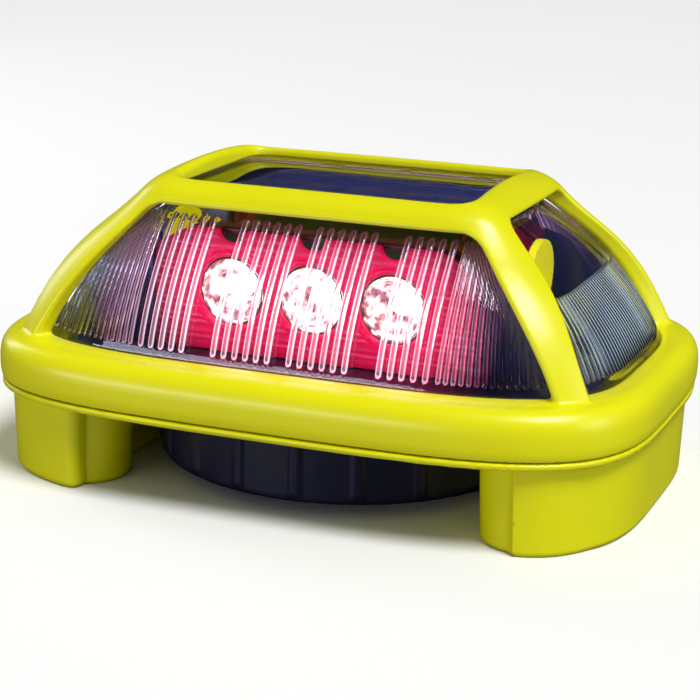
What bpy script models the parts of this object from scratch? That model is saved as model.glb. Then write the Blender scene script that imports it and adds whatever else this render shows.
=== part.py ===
"""Barricade warning light: a self-contained solar LED lamp under a moulded yellow guard.

Lengths are in millimetres in the constants and turned into metres where meshes are made.
X runs along the long side, the lit front faces -Y, and Z = 0 is the plane of the leg ends.
The plan is a bowed rectangle: |x / a| ** n + |y / b| ** n = 1, with a and b its half sizes.
"""

import math

import bmesh
import bpy
from mathutils import Matrix, Vector

MM = 0.001
GAP = 0.3                       # running gap between neighbouring pieces

# Plan of the whole light
HALF_X = 80.0                   # half length at the widest line of the skirt
HALF_Y = 56.3
PLAN_POWER = 3.9                # bow of the skirt's and the legs' sides
LENS_POWER = 3.85
OUTLINE_POINTS = 40

# Heights
RIM_Z = 20.4                    # underside of the yellow rim
PARTING_Z = 22.0                # where the guard meets the base
LEDGE_Z = 33.2                  # ledge round the foot of the lens
LENS_SHOULDER_Z = 65.2
LENS_TOP_Z = 68.2
CREST_Z = 70.6                  # crest of the top frame at its corners

# Lens
LENS_FOOT = (71.5, 45.35)
LENS_SHOULDER = (41.2, 24.2)
LENS_BOW = (4.0, 3.1)           # how far the sloping faces bulge, at half height
LENS_WALL = 2.0
LENS_TOP_WALL = 1.0             # thinner over the solar panel
SLOPE = (1.38, 1.2)             # horizontal width of a wall 1 mm thick on the slopes

# Guard
BAR_PROUD = 4.0                 # how far the bars stand off the lens
OPENING = (36.2, 23.2)          # half sizes of the opening over the solar panel
# A window's foot and top, each as half width, height and distance out along the lens face
WINDOW_FRONT = ((60.5, 33.0, 36.6), (39.2, 65.1, 26.0))
WINDOW_END = ((33.0, 33.0, 66.8), (20.0, 67.2, 43.0))
WINDOW_FLARE = (0.5, 1.3)       # how fast the bars' side walls open outwards, front and end
WINDOW_BOW = 1.4
ARCH_END = 2.2                  # rise of the top frame at the middle of its end bars
ARCH_SIDE = 0.3

# Legs and their screws
LEG = (77.3, 52.4)
LEG_WALL_X = 48.4               # straight inner wall
LEG_BOSS = (53.4, 36.0)
LEG_BOSS_R = 10.8
LEG_SKIN = 2.6
LEG_CORNER = 51.5
LEG_FILLET = 3.1
LEG_ROUND = (57.3, 35.5)        # the plain corner, diagonally opposite the bossed one
LEG_ROUND_R = 11.3
SCREW_AT = (61.6, 40.8)
SCREW_BOSS_R = 3.5
SCREW_BOSS_Z = 9.5
SCREW_R = 1.45
SCREW_HEAD_R = 2.45
SCREW_HEAD_Z = 8.5
SCREW_SEAT_Z = 11.0
SCREW_TIP_Z = 28.8

# Battery compartment
NECK_R = 42.0
NECK_BORE_R = 38.5
NECK_END_Z = 8.8
THREAD_PITCH = 4.5
THREAD_TURNS = 1.6
CAP_R = 45.6
CAP_BORE_R = 43.6
CAP_RIB = 0.65
CAP_RIBS = 20
CAP_RIB_ANGLE = 6.0
CAP_BOTTOM_Z = 3.4
CAP_RIM_Z = 19.4
CAP_FLOOR_Z = 6.6
CELL_R = 7.2
CELL_PITCH = 14.9
CELL_Z = 15.6
CELL_ENDS = (-23.6, 26.9)

# Lamp
LED_PITCH = 20.0
LED_Z = 45.0
OPTIC_R = 7.8
HOUSING_FACE_Y = 25.4
HOUSING_BACK_Y = 17.3
HOUSING_FOOT_Z = 30.4
HOUSING_TOP_Z = 59.3
BUTTON_AT = (36.6, 37.4)

YELLOW = ("yellow_guard_plastic", (0.80, 0.76, 0.02), 0.28, 0.0)
CLEAR = ("clear_lens", (0.75, 0.85, 0.90), 0.08, 0.0)
BLACK = ("black_plastic", (0.010, 0.010, 0.020), 0.38, 0.0)
RUBBER = ("black_rubber", (0.015, 0.015, 0.016), 0.75, 0.0)
RED = ("red_reflector", (0.75, 0.01, 0.03), 0.25, 0.0)
SOLAR = ("solar_cell", (0.010, 0.016, 0.060), 0.20, 0.0)
BOARD = ("circuit_board", (0.02, 0.16, 0.06), 0.45, 0.0)
LED = ("led_package", (0.90, 0.80, 0.55), 0.35, 0.0)
STEEL = ("steel", (0.60, 0.60, 0.60), 0.30, 1.0)
NICKEL = ("nickel", (0.66, 0.62, 0.55), 0.30, 1.0)
CELL = ("cell_sleeve", (0.05, 0.30, 0.12), 0.40, 0.0)
WIRE = ("wire_sleeve", (0.55, 0.02, 0.02), 0.45, 0.0)


def clear_scene():
    for item in list(bpy.data.objects):
        bpy.data.objects.remove(item)


def finish_of(spec):
    """The material of this name, made once."""
    name, colour, roughness, metallic = spec
    found = bpy.data.materials.get(name)
    if found:
        return found
    made = bpy.data.materials.new(name)
    made.use_nodes = True
    shader = made.node_tree.nodes["Principled BSDF"]
    shader.inputs["Base Color"].default_value = (*colour, 1.0)
    shader.inputs["Roughness"].default_value = roughness
    shader.inputs["Metallic"].default_value = metallic
    if spec is CLEAR:
        shader.inputs["Transmission Weight"].default_value = 0.9
    return made


def place(name, bm, spec, at=(0.0, 0.0, 0.0), turn=0.0):
    """Turns a bmesh in millimetres into a named object in metres."""
    bmesh.ops.recalc_face_normals(bm, faces=bm.faces)
    bmesh.ops.transform(bm, matrix=Matrix.Scale(MM, 4), verts=bm.verts)
    mesh = bpy.data.meshes.new(name)
    bm.to_mesh(mesh)
    bm.free()
    mesh.shade_smooth()
    mesh.set_sharp_from_angle(angle=math.radians(35))
    mesh.materials.append(finish_of(spec))
    made = bpy.data.objects.new(name, mesh)
    made.location = Vector(at) * MM
    made.rotation_euler.z = turn
    bpy.context.scene.collection.objects.link(made)
    return made


def helper(name, bm):
    """An object that only shapes others through their Boolean modifiers."""
    made = place(name, bm, BLACK)
    made.hide_render = True
    made.display_type = 'WIRE'
    return made


def combine(target, operation, tool):
    step = target.modifiers.new(f"{operation.lower()}_{tool.name}", 'BOOLEAN')
    step.operation = operation
    step.solver = 'EXACT'
    step.object = tool


def bowed_ring(half_x, half_y, power, z, lift=0.0, count=OUTLINE_POINTS):
    """Points of one bowed rectangle; lift arches it over its four sides."""
    points = []
    for step in range(count):
        angle = 2 * math.pi * step / count
        c, s = math.cos(angle), math.sin(angle)
        reach = (abs(c) ** power + abs(s) ** power) ** (-1 / power)
        u, v = c * reach, s * reach
        arch = lift * (ARCH_END * (1 - v * v) + ARCH_SIDE * (1 - u * u))
        points.append((half_x * u, half_y * v, z + arch))
    return points


def loft(bm, rings, loop=False, cap=True):
    """Skins rings of equal length; a loop closes on its first ring and needs no caps."""
    rows = [[bm.verts.new(p) for p in ring] for ring in rings]
    pairs = list(zip(rows, rows[1:]))
    if loop:
        pairs.append((rows[-1], rows[0]))
    for low, high in pairs:
        count = len(low)
        for i in range(count):
            j = (i + 1) % count
            bm.faces.new((low[i], low[j], high[j], high[i]))
    if cap and not loop:
        bm.faces.new(rows[0][::-1])
        bm.faces.new(rows[-1])


def circle(radius, z, count, centre=(0.0, 0.0)):
    return [(centre[0] + radius * math.cos(2 * math.pi * i / count),
             centre[1] + radius * math.sin(2 * math.pi * i / count), z) for i in range(count)]


def turned(bm, profile, count, centre=(0.0, 0.0)):
    """A solid of circles (radius, z) stacked on one axis, closed by a flat cap at each end."""
    loft(bm, [circle(r, z, count, centre) for r, z in profile])


def block(bm, low, high):
    corners = [(low[0], low[1]), (high[0], low[1]), (high[0], high[1]), (low[0], high[1])]
    loft(bm, [[(x, y, z) for x, y in corners] for z in (low[2], high[2])])


def mirrored_places(at):
    return [(sx * at[0], sy * at[1]) for sx in (-1, 1) for sy in (-1, 1)]


def arc(centre, radius, start, end, steps):
    """Plan points on an arc, angles in degrees."""
    points = []
    for i in range(steps + 1):
        angle = math.radians(start + (end - start) * i / steps)
        points.append((centre[0] + radius * math.cos(angle), centre[1] + radius * math.sin(angle)))
    return points


# Lens ---------------------------------------------------------------------------------


def lens_section(z, proud=0.0):
    """Half sizes and power of the lens at height z, moved outwards by proud."""
    t = max(0.0, (z - LEDGE_Z) / (LENS_SHOULDER_Z - LEDGE_Z))
    half = []
    for axis in (0, 1):
        straight = LENS_FOOT[axis] + (LENS_SHOULDER[axis] - LENS_FOOT[axis]) * t
        half.append(straight + LENS_BOW[axis] * 4 * t * (1 - t) + proud * SLOPE[axis])
    return half[0], half[1], LENS_POWER + 3.5 * t * t


def slope_heights(steps):
    return [LEDGE_Z + (LENS_SHOULDER_Z - LEDGE_Z) * i / steps for i in range(steps + 1)]


def make_lens():
    """Clear dome with a clamping flange at its foot, open below."""
    flange_low, flange_high = 27.4, 29.9
    foot_x, foot_y = LENS_FOOT
    rings = [
        bowed_ring(foot_x + 2.1, foot_y + 2.1, LENS_POWER, flange_low),
        bowed_ring(foot_x + 2.1, foot_y + 2.1, LENS_POWER, flange_high),
        bowed_ring(foot_x, foot_y, LENS_POWER, flange_high),
    ]
    for z in slope_heights(5):
        rings.append(bowed_ring(*lens_section(z), z))
    top_x, top_y, top_power = lens_section(LENS_SHOULDER_Z)
    rings.append(bowed_ring(top_x - 0.9, top_y - 0.9, top_power, LENS_TOP_Z - 0.4))
    rings.append(bowed_ring(top_x - 2.6, top_y - 2.6, top_power, LENS_TOP_Z))
    inner = [bowed_ring(foot_x - LENS_WALL, foot_y - LENS_WALL, LENS_POWER, flange_low)]
    for z in slope_heights(5)[:-1]:
        inner.append(bowed_ring(*lens_section(z, -LENS_WALL), z))
    inner.append(bowed_ring(top_x - 3.2, top_y - 2.8, top_power, LENS_TOP_Z - LENS_TOP_WALL))
    bm = bmesh.new()
    loft(bm, inner[::-1] + rings)
    lens = place("lens", bm, CLEAR)
    bm = bmesh.new()
    for centre in mirrored_places(SCREW_AT):
        turned(bm, [(3.5, flange_low - 1), (3.5, flange_high + 0.6)], 16, centre)
    combine(lens, 'DIFFERENCE', helper("lens_scallops", bm))


def make_gasket():
    bm = bmesh.new()
    foot_x, foot_y = LENS_FOOT
    outer, inner = (foot_x, foot_y), (foot_x - 3.2, foot_y - 3.2)
    loft(bm, [
        bowed_ring(*outer, LENS_POWER, 25.3),
        bowed_ring(*outer, LENS_POWER, 27.1),
        bowed_ring(*inner, LENS_POWER, 27.1),
        bowed_ring(*inner, LENS_POWER, 25.3),
    ], loop=True)
    place("lens_gasket", bm, RUBBER)


# Guard --------------------------------------------------------------------------------


def window_wedges(bm, window, flare, along_x, bow):
    """Cutters for the two windows of a pair: bowed trapeziums that widen outwards."""
    (foot, low, foot_out), (top, high, top_out) = window
    for way in (-1, 1):
        rings = []
        for out in (15.0 + 20.0 * along_x, 95.0):
            side = []
            for i in range(6):
                t = i / 5
                middle = foot_out + (top_out - foot_out) * t
                opened = flare * (1 - 0.85 * t) * (out - middle)
                half = foot + (top - foot) * t + bow * 4 * t * (1 - t) + opened
                side.append((max(half, 1.0 + t), low + (high - low) * t))
            section = side + [(-half, z) for half, z in reversed(side)]
            if along_x:
                rings.append([(way * out, across, z) for across, z in section])
            else:
                rings.append([(across, way * out, z) for across, z in section])
        loft(bm, rings)


def make_cage_form():
    """Shell that follows the lens, with the crested frame round the top opening."""
    foot_z = 31.9
    foot = lens_section(LEDGE_Z, BAR_PROUD)
    rings = [bowed_ring(*foot, foot_z)]
    for z in slope_heights(6)[:-1]:
        rings.append(bowed_ring(*lens_section(z, BAR_PROUD), z))
    for half_x, half_y, z, lift in (
        (47.6, 29.2, 66.6, 0.4),
        (46.3, 28.7, 68.6, 0.8),
        (44.4, 27.6, 70.0, 1.0),
        (41.4, 26.0, CREST_Z, 1.0),
        (38.8, 24.6, CREST_Z - 0.4, 1.0),
    ):
        rings.append(bowed_ring(half_x, half_y, 8.0, z, lift))
    rings.append(bowed_ring(*OPENING, 14.0, 69.2, 0.6))
    rings.append(bowed_ring(*OPENING, 14.0, LENS_TOP_Z + 0.4))
    rings.append(bowed_ring(41.0, 23.9, 7.3, LENS_TOP_Z + 0.4))
    for z in reversed(slope_heights(5)):
        rings.append(bowed_ring(*lens_section(z, 0.45), z))
    rings.append(bowed_ring(*lens_section(LEDGE_Z, 0.7), foot_z))
    bm = bmesh.new()
    loft(bm, rings, loop=True)
    form = helper("cage_form", bm)
    for name, window, along_x, bow in (
        ("window_cut_front", WINDOW_FRONT, False, WINDOW_BOW),
        ("window_cut_end", WINDOW_END, True, 0.0),
    ):
        bm = bmesh.new()
        window_wedges(bm, window, WINDOW_FLARE[along_x], along_x, bow)
        combine(form, 'DIFFERENCE', helper(name, bm))
    return form


def make_guard():
    """Skirt and ledge, joined to the cage, with four screw towers under the ledge."""
    low = PARTING_Z + GAP
    under = LEDGE_Z - 3.0
    wall = 2.7
    rings = [bowed_ring(HALF_X - out, HALF_Y - out, PLAN_POWER, z) for out, z in (
        (0.6, low), (0.1, low + 1.4), (0.0, 26.2), (0.2, 28.6), (1.1, 31.0), (2.8, 32.6), (5.0, LEDGE_Z))]
    rings.append(bowed_ring(LENS_FOOT[0] + 0.4, LENS_FOOT[1] + 0.4, LENS_POWER, LEDGE_Z))
    rings.append(bowed_ring(LENS_FOOT[0] + 0.4, LENS_FOOT[1] + 0.4, LENS_POWER, under))
    rings.append(bowed_ring(HALF_X - wall, HALF_Y - wall, PLAN_POWER, under))
    rings.append(bowed_ring(HALF_X - wall, HALF_Y - wall, PLAN_POWER, low))
    bm = bmesh.new()
    loft(bm, rings, loop=True)
    guard = place("guard_cage", bm, YELLOW)
    combine(guard, 'UNION', make_cage_form())
    bm = bmesh.new()
    for centre in mirrored_places(SCREW_AT):
        turned(bm, [(3.0, 23.3), (3.0, under + 0.8)], 16, centre)
    combine(guard, 'UNION', helper("guard_towers", bm))
    bm = bmesh.new()
    for centre in mirrored_places(SCREW_AT):
        turned(bm, [(SCREW_R + GAP, 22.0), (SCREW_R + GAP, SCREW_TIP_Z + 0.4)], 12, centre)
    combine(guard, 'DIFFERENCE', helper("guard_screw_holes", bm))


# Base ---------------------------------------------------------------------------------


def leg_corner(inset, bossed):
    """Inner corner of a leg at +Y, from its outer face round to the straight inner wall."""
    half_x, half_y = LEG[0] - inset, LEG[1] - inset
    wall_x = LEG_WALL_X + inset
    centre, radius = (LEG_BOSS, LEG_BOSS_R) if bossed else (LEG_ROUND, LEG_ROUND_R)
    meet = math.degrees(math.acos((wall_x - centre[0]) / (radius - inset)))
    start_x = LEG_CORNER if bossed else LEG_ROUND[0] + 3.5
    start_y = half_y * (1 - (start_x / half_x) ** PLAN_POWER) ** (1 / PLAN_POWER)
    if bossed:
        fillet = LEG_FILLET - inset
        points = arc((start_x, start_y - fillet), fillet, 90, 180, 3)
        points += arc(centre, radius - inset, meet, 360 - meet, 8)
    else:
        points = [(start_x, start_y)] + arc(centre, radius - inset, 90, 360 - meet, 8)
    return points, math.atan2(start_y / half_y, start_x / half_x)


def leg_plan(inset):
    """Plan of the right leg, shrunk by inset: bowed outside, a plain corner in front."""
    half_x, half_y = LEG[0] - inset, LEG[1] - inset
    back, last = leg_corner(inset, True)
    front, first = leg_corner(inset, False)
    outside = []
    steps = 16
    for i in range(1, steps):
        angle = -first + (first + last) * i / steps
        c, s = math.cos(angle), math.sin(angle)
        reach = (abs(c) ** PLAN_POWER + abs(s) ** PLAN_POWER) ** (-1 / PLAN_POWER)
        outside.append((half_x * c * reach, half_y * s * reach))
    return outside + back + [(x, -y) for x, y in reversed(front)]


def both_legs(bm, levels):
    """Lofts the leg plan through (inset, z) levels; the left leg is the right one turned round."""
    for side in (1, -1):
        loft(bm, [[(side * x, side * y, z) for x, y in leg_plan(inset)] for inset, z in levels])


def thread_ridge(bm):
    """A helical ridge on the neck that fades in and out at its ends."""
    steps_per_turn = 36
    steps = int(THREAD_TURNS * steps_per_turn)
    rings = []
    for i in range(steps + 1):
        angle = 2 * math.pi * i / steps_per_turn
        z = 10.6 + THREAD_PITCH * i / steps_per_turn
        fade = min(1.0, i / 5, (steps - i) / 5)
        crest = NECK_R - 0.1 + 0.9 * fade
        section = ((NECK_R - 0.8, -1.1), (crest, -0.4), (crest, 0.4), (NECK_R - 0.8, 1.1))
        rings.append([(r * math.cos(angle), r * math.sin(angle), z + dz) for r, dz in section])
    loft(bm, rings)


def make_base():
    """Floor, seal wall, legs, screw bosses and the threaded neck, as one moulding."""
    foot_x, foot_y = LENS_FOOT
    locate = (HALF_X - 3.1, HALF_Y - 3.1)
    rings = [
        bowed_ring(HALF_X - 0.9, HALF_Y - 0.6, PLAN_POWER, RIM_Z),
        bowed_ring(HALF_X - 0.5, HALF_Y - 0.2, PLAN_POWER, RIM_Z + 0.7),
        bowed_ring(HALF_X - 0.7, HALF_Y - 0.5, PLAN_POWER, PARTING_Z),
        bowed_ring(*locate, PLAN_POWER, PARTING_Z),
        bowed_ring(*locate, PLAN_POWER, PARTING_Z + 1.0),
        bowed_ring(foot_x + 0.4, foot_y + 0.4, LENS_POWER, PARTING_Z + 1.0),
        bowed_ring(foot_x + 0.4, foot_y + 0.4, LENS_POWER, 25.0),
        bowed_ring(foot_x - 3.4, foot_y - 3.4, LENS_POWER, 25.0),
        bowed_ring(foot_x - 3.4, foot_y - 3.4, LENS_POWER, PARTING_Z + 1.0),
    ]
    bm = bmesh.new()
    loft(bm, rings)
    base = place("base_tray", bm, YELLOW)

    bm = bmesh.new()
    both_legs(bm, ((1.2, 0.0), (0.4, 0.35), (0.0, 1.3), (-0.7, RIM_Z + 0.2)))
    turned(bm, [(NECK_R - 0.6, NECK_END_Z), (NECK_R, NECK_END_Z + 0.6), (NECK_R, RIM_Z + 0.2)], 48)
    combine(base, 'UNION', helper("base_outer_forms", bm))

    bm = bmesh.new()
    thread_ridge(bm)
    combine(base, 'UNION', helper("neck_thread", bm))

    bm = bmesh.new()
    turned(bm, [(NECK_BORE_R, NECK_END_Z - 2), (NECK_BORE_R, 27.0)], 48)
    both_legs(bm, ((LEG_SKIN, -1.0), (LEG_SKIN - 0.5, RIM_Z + 0.3)))
    combine(base, 'DIFFERENCE', helper("base_hollows", bm))

    bm = bmesh.new()
    for centre in mirrored_places(SCREW_AT):
        turned(bm, [(SCREW_BOSS_R, SCREW_BOSS_Z), (SCREW_BOSS_R, RIM_Z + 0.8)], 18, centre)
    combine(base, 'UNION', helper("base_screw_bosses", bm))

    bm = bmesh.new()
    for centre in mirrored_places(SCREW_AT):
        turned(bm, [(SCREW_HEAD_R + GAP, -1.0), (SCREW_HEAD_R + GAP, SCREW_SEAT_Z),
                    (SCREW_R + GAP, SCREW_SEAT_Z), (SCREW_R + GAP, 27.0)], 16, centre)
    turned(bm, [(2.4, RIM_Z - 2), (2.4, 26.0)], 16, BUTTON_AT)
    combine(base, 'DIFFERENCE', helper("base_holes", bm))


def make_case_screws():
    """Pan-head screws with a crossed recess, driven up through the legs into the guard."""
    for number, centre in enumerate(mirrored_places(SCREW_AT), 1):
        bm = bmesh.new()
        turned(bm, [(1.9, 0.0), (SCREW_HEAD_R, 0.9), (SCREW_HEAD_R, 2.2), (SCREW_R, 2.2),
                    (SCREW_R, 18.6), (0.5, SCREW_TIP_Z - SCREW_HEAD_Z)], 12)
        screw = place(f"case_screw_{number}", bm, STEEL, (*centre, SCREW_HEAD_Z))
        bm = bmesh.new()
        block(bm, (centre[0] - 1.4, centre[1] - 0.35, 7.0), (centre[0] + 1.4, centre[1] + 0.35, 9.7))
        recess = helper(f"screw_slot_{number}", bm)
        combine(screw, 'DIFFERENCE', recess)


# Battery compartment ------------------------------------------------------------------


def cap_ring(radius, z, proud):
    """One circle of the cap, with its grip ribs standing proud."""
    points = []
    half = 1.5
    for rib in range(CAP_RIBS):
        middle = CAP_RIB_ANGLE + 360 / CAP_RIBS * rib
        for offset, up in ((-half - 0.5, 0), (-half, 1), (half, 1), (half + 0.5, 0), (9.0, 0)):
            angle = math.radians(middle + offset)
            reach = radius + proud * up
            points.append((reach * math.cos(angle), reach * math.sin(angle), z))
    return points


def make_cap(axis):
    """Screw cap with ribs round its side and a shallow recess below."""
    bm = bmesh.new()
    loft(bm, [cap_ring(r, z - CAP_BOTTOM_Z, proud) for r, z, proud in (
        (30.0, CAP_BOTTOM_Z + 0.7, 0.0),
        (30.6, CAP_BOTTOM_Z, 0.0),
        (44.6, CAP_BOTTOM_Z, 0.0),
        (CAP_R, CAP_BOTTOM_Z + 1.2, 0.0),
        (CAP_R, CAP_BOTTOM_Z + 2.0, CAP_RIB),
        (CAP_R, CAP_RIM_Z - 0.5, CAP_RIB),
        (CAP_R - 0.5, CAP_RIM_Z, 0.0),
        (CAP_BORE_R, CAP_RIM_Z, 0.0),
        (CAP_BORE_R, CAP_FLOOR_Z, 0.0),
    )])
    cap = place("battery_cap", bm, BLACK)
    cap.parent = axis
    cap.location.z = 0.0


def make_cap_seal(axis):
    radius, thick = 40.2, 0.8
    bm = bmesh.new()
    rings = []
    for i in range(6):
        angle = 2 * math.pi * i / 6
        rings.append(circle(radius + thick * math.cos(angle), thick * math.sin(angle), 40))
    loft(bm, rings, loop=True)
    seal = place("cap_seal_ring", bm, RUBBER)
    seal.parent = axis
    seal.location.z = (7.75 - CAP_BOTTOM_Z) * MM


def make_holder():
    """Flanged lid of the battery compartment with a box hanging from it, open below."""
    box_x, box_y, skin, low = 29.6, 24.0, 1.5, 8.0
    flange_z = PARTING_Z + 1.0 + GAP
    bm = bmesh.new()
    turned(bm, [(41.2, flange_z), (41.2, flange_z + 1.8)], 36)
    holder = place("battery_holder", bm, BLACK)
    bm = bmesh.new()
    block(bm, (-box_x, -box_y, low), (box_x, box_y, flange_z + 0.4))
    combine(holder, 'UNION', helper("holder_box", bm))
    bm = bmesh.new()
    block(bm, (-box_x + skin, -box_y + skin, low - 1), (box_x - skin, box_y - skin, flange_z))
    combine(holder, 'DIFFERENCE', helper("holder_hollow", bm))


def make_cells():
    """Three AA cells lying along X, side by side, with the springs at their flat ends."""
    start, end = CELL_ENDS
    for number in range(3):
        y = (number - 1) * CELL_PITCH
        bm = bmesh.new()
        turned(bm, [(6.4, 0.0), (CELL_R, 0.4), (CELL_R, 49.0), (6.2, 49.4), (2.7, 49.4),
                    (2.7, end - start)], 20)
        bmesh.ops.rotate(bm, matrix=Matrix.Rotation(math.radians(90), 3, 'Y'), verts=bm.verts)
        place(f"battery_cell_{number + 1}", bm, CELL, (start, y, CELL_Z))
        make_contact_spring(number + 1, y)
    for name, low, high in (("contact_plate_positive", 27.25, 27.75),
                            ("contact_plate_negative", -27.75, -27.25)):
        bm = bmesh.new()
        block(bm, (low, -20.5, CELL_Z - 5.5), (high, 20.5, CELL_Z + 5.5))
        place(name, bm, NICKEL)


def make_contact_spring(number, y):
    """A conical coil between the contact plate and the flat end of a cell."""
    turns, per_turn, wire = 2.5, 10, 0.35
    start, end = -26.6, CELL_ENDS[0] - 0.7
    points = []
    steps = int(turns * per_turn)
    for i in range(steps + 1):
        share = i / steps
        angle = 2 * math.pi * i / per_turn
        radius = 4.6 - 2.4 * share
        points.append((start + (end - start) * share, radius * math.cos(angle), radius * math.sin(angle)))
    make_tube(f"contact_spring_{number}", points, wire, NICKEL, (0.0, y, CELL_Z), 1)


def make_tube(name, points, radius, spec, at=(0.0, 0.0, 0.0), resolution=2):
    """A round wire through the points, with closed ends."""
    curve = bpy.data.curves.new(name, 'CURVE')
    curve.dimensions = '3D'
    curve.bevel_depth = radius * MM
    curve.bevel_resolution = resolution
    curve.use_fill_caps = True
    spline = curve.splines.new('POLY')
    spline.points.add(len(points) - 1)
    for item, point in zip(spline.points, points):
        item.co = (*(Vector(point) * MM), 1.0)
    curve.materials.append(finish_of(spec))
    made = bpy.data.objects.new(name, curve)
    made.location = Vector(at) * MM
    bpy.context.scene.collection.objects.link(made)


# Lamp inside the lens -----------------------------------------------------------------


def make_chassis():
    """Plate that carries the lamp, on four short columns."""
    top = 30.0
    bm = bmesh.new()
    loft(bm, [bowed_ring(66.0, 40.0, LENS_POWER, top - 1.8), bowed_ring(66.0, 40.0, LENS_POWER, top)])
    chassis = place("chassis_plate", bm, BLACK)
    bm = bmesh.new()
    for centre in mirrored_places((50.0, 27.0)):
        turned(bm, [(2.6, PARTING_Z + 1.0 + GAP), (3.2, top - 1.0)], 12, centre)
    combine(chassis, 'UNION', helper("chassis_columns", bm))
    bm = bmesh.new()
    turned(bm, [(2.2, top - 4), (2.2, top + 2)], 12, (-31.0, 0.0))
    combine(chassis, 'DIFFERENCE', helper("chassis_lead_hole", bm))


def housing_face(inset):
    """Front view (x, z) of a reflector housing, its top corners cut to clear the lens."""
    wide, narrow, cut_z = 40.0 - inset, 31.0 - inset, 54.5 - inset
    low, high = HOUSING_FOOT_Z + inset, HOUSING_TOP_Z - inset
    return [(-wide, low), (wide, low), (wide, cut_z), (narrow, high), (-narrow, high), (-wide, cut_z)]


def facing(turn, x, y):
    """Plan place of a piece that the front half holds at (x, -y), turned to its half."""
    return (x * math.cos(turn) + y * math.sin(turn), x * math.sin(turn) - y * math.cos(turn))


def make_housing(side, turn):
    """Red reflector housing: a shallow tray with three round windows and three notches."""
    bm = bmesh.new()
    loft(bm, [[(x, y, z) for x, z in housing_face(0.0)] for y in (-HOUSING_FACE_Y, -HOUSING_BACK_Y)])
    housing = place(f"reflector_housing_{side}", bm, RED, turn=turn)
    cuts = bmesh.new()
    loft(cuts, [[(x, y, z) for x, z in housing_face(1.4)] for y in (1.4 - HOUSING_FACE_Y, 1 - HOUSING_BACK_Y)])
    hollow = helper(f"housing_hollow_{side}", cuts)
    hollow.rotation_euler.z = turn
    combine(housing, 'DIFFERENCE', hollow)
    holes = bmesh.new()
    for x in (-LED_PITCH, 0.0, LED_PITCH):
        for radius, z in ((OPTIC_R + 0.4, LED_Z), (3.4, HOUSING_TOP_Z + 0.4)):
            loft(holes, [[(x + a, y, z + b) for a, b, _ in circle(radius, 0.0, 20)]
                         for y in (-HOUSING_FACE_Y - 1, -HOUSING_FACE_Y + 3)])
    windows = helper(f"housing_windows_{side}", holes)
    windows.rotation_euler.z = turn
    combine(housing, 'DIFFERENCE', windows)


def make_lamp_side(side, turn):
    """Board, three LEDs and three collimators of one side."""
    bm = bmesh.new()
    block(bm, (-33.0, -16.9, 31.0), (33.0, -15.3, 57.0))
    place(f"led_board_{side}", bm, BOARD, turn=turn)
    upright = Matrix.Rotation(math.radians(90), 3, 'X')
    for number, x in enumerate((-LED_PITCH, 0.0, LED_PITCH), 1):
        bm = bmesh.new()
        turned(bm, [(2.6, 0.0), (2.6, 0.9), (1.6, 0.9), (1.3, 1.5), (0.6, 1.8)], 12)
        bmesh.ops.rotate(bm, matrix=upright, verts=bm.verts)
        place(f"led_{side}_{number}", bm, LED, (*facing(turn, x, 17.2), LED_Z), turn)
        bm = bmesh.new()
        turned(bm, [(3.0, 0.0), (5.2, 2.6), (6.9, 5.4), (OPTIC_R, 6.8), (OPTIC_R, 7.6)], 20)
        bmesh.ops.rotate(bm, matrix=upright, verts=bm.verts)
        place(f"led_optic_{side}_{number}", bm, CLEAR, (*facing(turn, x, 19.4), LED_Z), turn)


def make_end_brackets():
    """Yellow arched brackets that close the two ends of the lamp."""
    for side, x in (("left", -45.4), ("right", 45.4)):
        bm = bmesh.new()
        section = [(-9.5, 30.4), (9.5, 30.4)] + arc((0.0, 48.7), 9.5, 0, 180, 12)
        loft(bm, [[(reach, y, z) for y, z in section] for reach in (-0.9, 0.9)])
        place(f"end_bracket_{side}", bm, YELLOW, (x, 0.0, 0.0))


def make_solar_panel():
    bm = bmesh.new()
    top = LENS_TOP_Z - LENS_TOP_WALL - GAP
    block(bm, (-35.2, -18.6, top - 2.3), (35.2, 18.6, top))
    place("solar_panel", bm, SOLAR)


def make_control_board():
    """Charge and flash circuit: a board with its taller components."""
    top = 33.2
    bm = bmesh.new()
    block(bm, (-24.0, -11.0, top - 1.6), (24.0, 11.0, top))
    board = place("control_board", bm, BOARD)
    bm = bmesh.new()
    block(bm, (-19.0, -8.0, top - 0.4), (-9.0, 2.0, top + 3.2))
    block(bm, (-3.0, -4.0, top - 0.4), (6.0, 5.0, top + 1.3))
    turned(bm, [(3.2, top - 0.4), (3.2, top + 5.5)], 14, (12.5, 1.0))
    for centre in mirrored_places((20.0, 8.5)):
        turned(bm, [(1.5, HOUSING_FOOT_Z - 0.1), (1.5, top - 1.0)], 8, centre)
    combine(board, 'UNION', helper("board_components", bm))


def make_leads():
    """Two insulated leads that stay inside: battery to board, and solar panel to board."""
    make_tube("battery_lead", [(-22.0, 0.0, 26.1), (-25.0, 0.0, 26.2), (-28.4, 0.0, 26.9),
                               (-30.6, 0.0, 28.6), (-31.0, 0.0, 31.2), (-30.0, 0.0, 33.6),
                               (-27.4, 0.0, 34.9), (-24.6, 0.0, 34.6), (-22.6, 0.0, 34.1)],
              0.6, WIRE, resolution=1)
    sag = [(28.0 - 6.0 * t, 6.0 * math.sin(math.pi * t), 63.7 - 29.4 * t)
           for t in (i / 10 for i in range(11))]
    make_tube("solar_lead", sag, 0.6, WIRE, resolution=1)


# Switch -------------------------------------------------------------------------------


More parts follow.
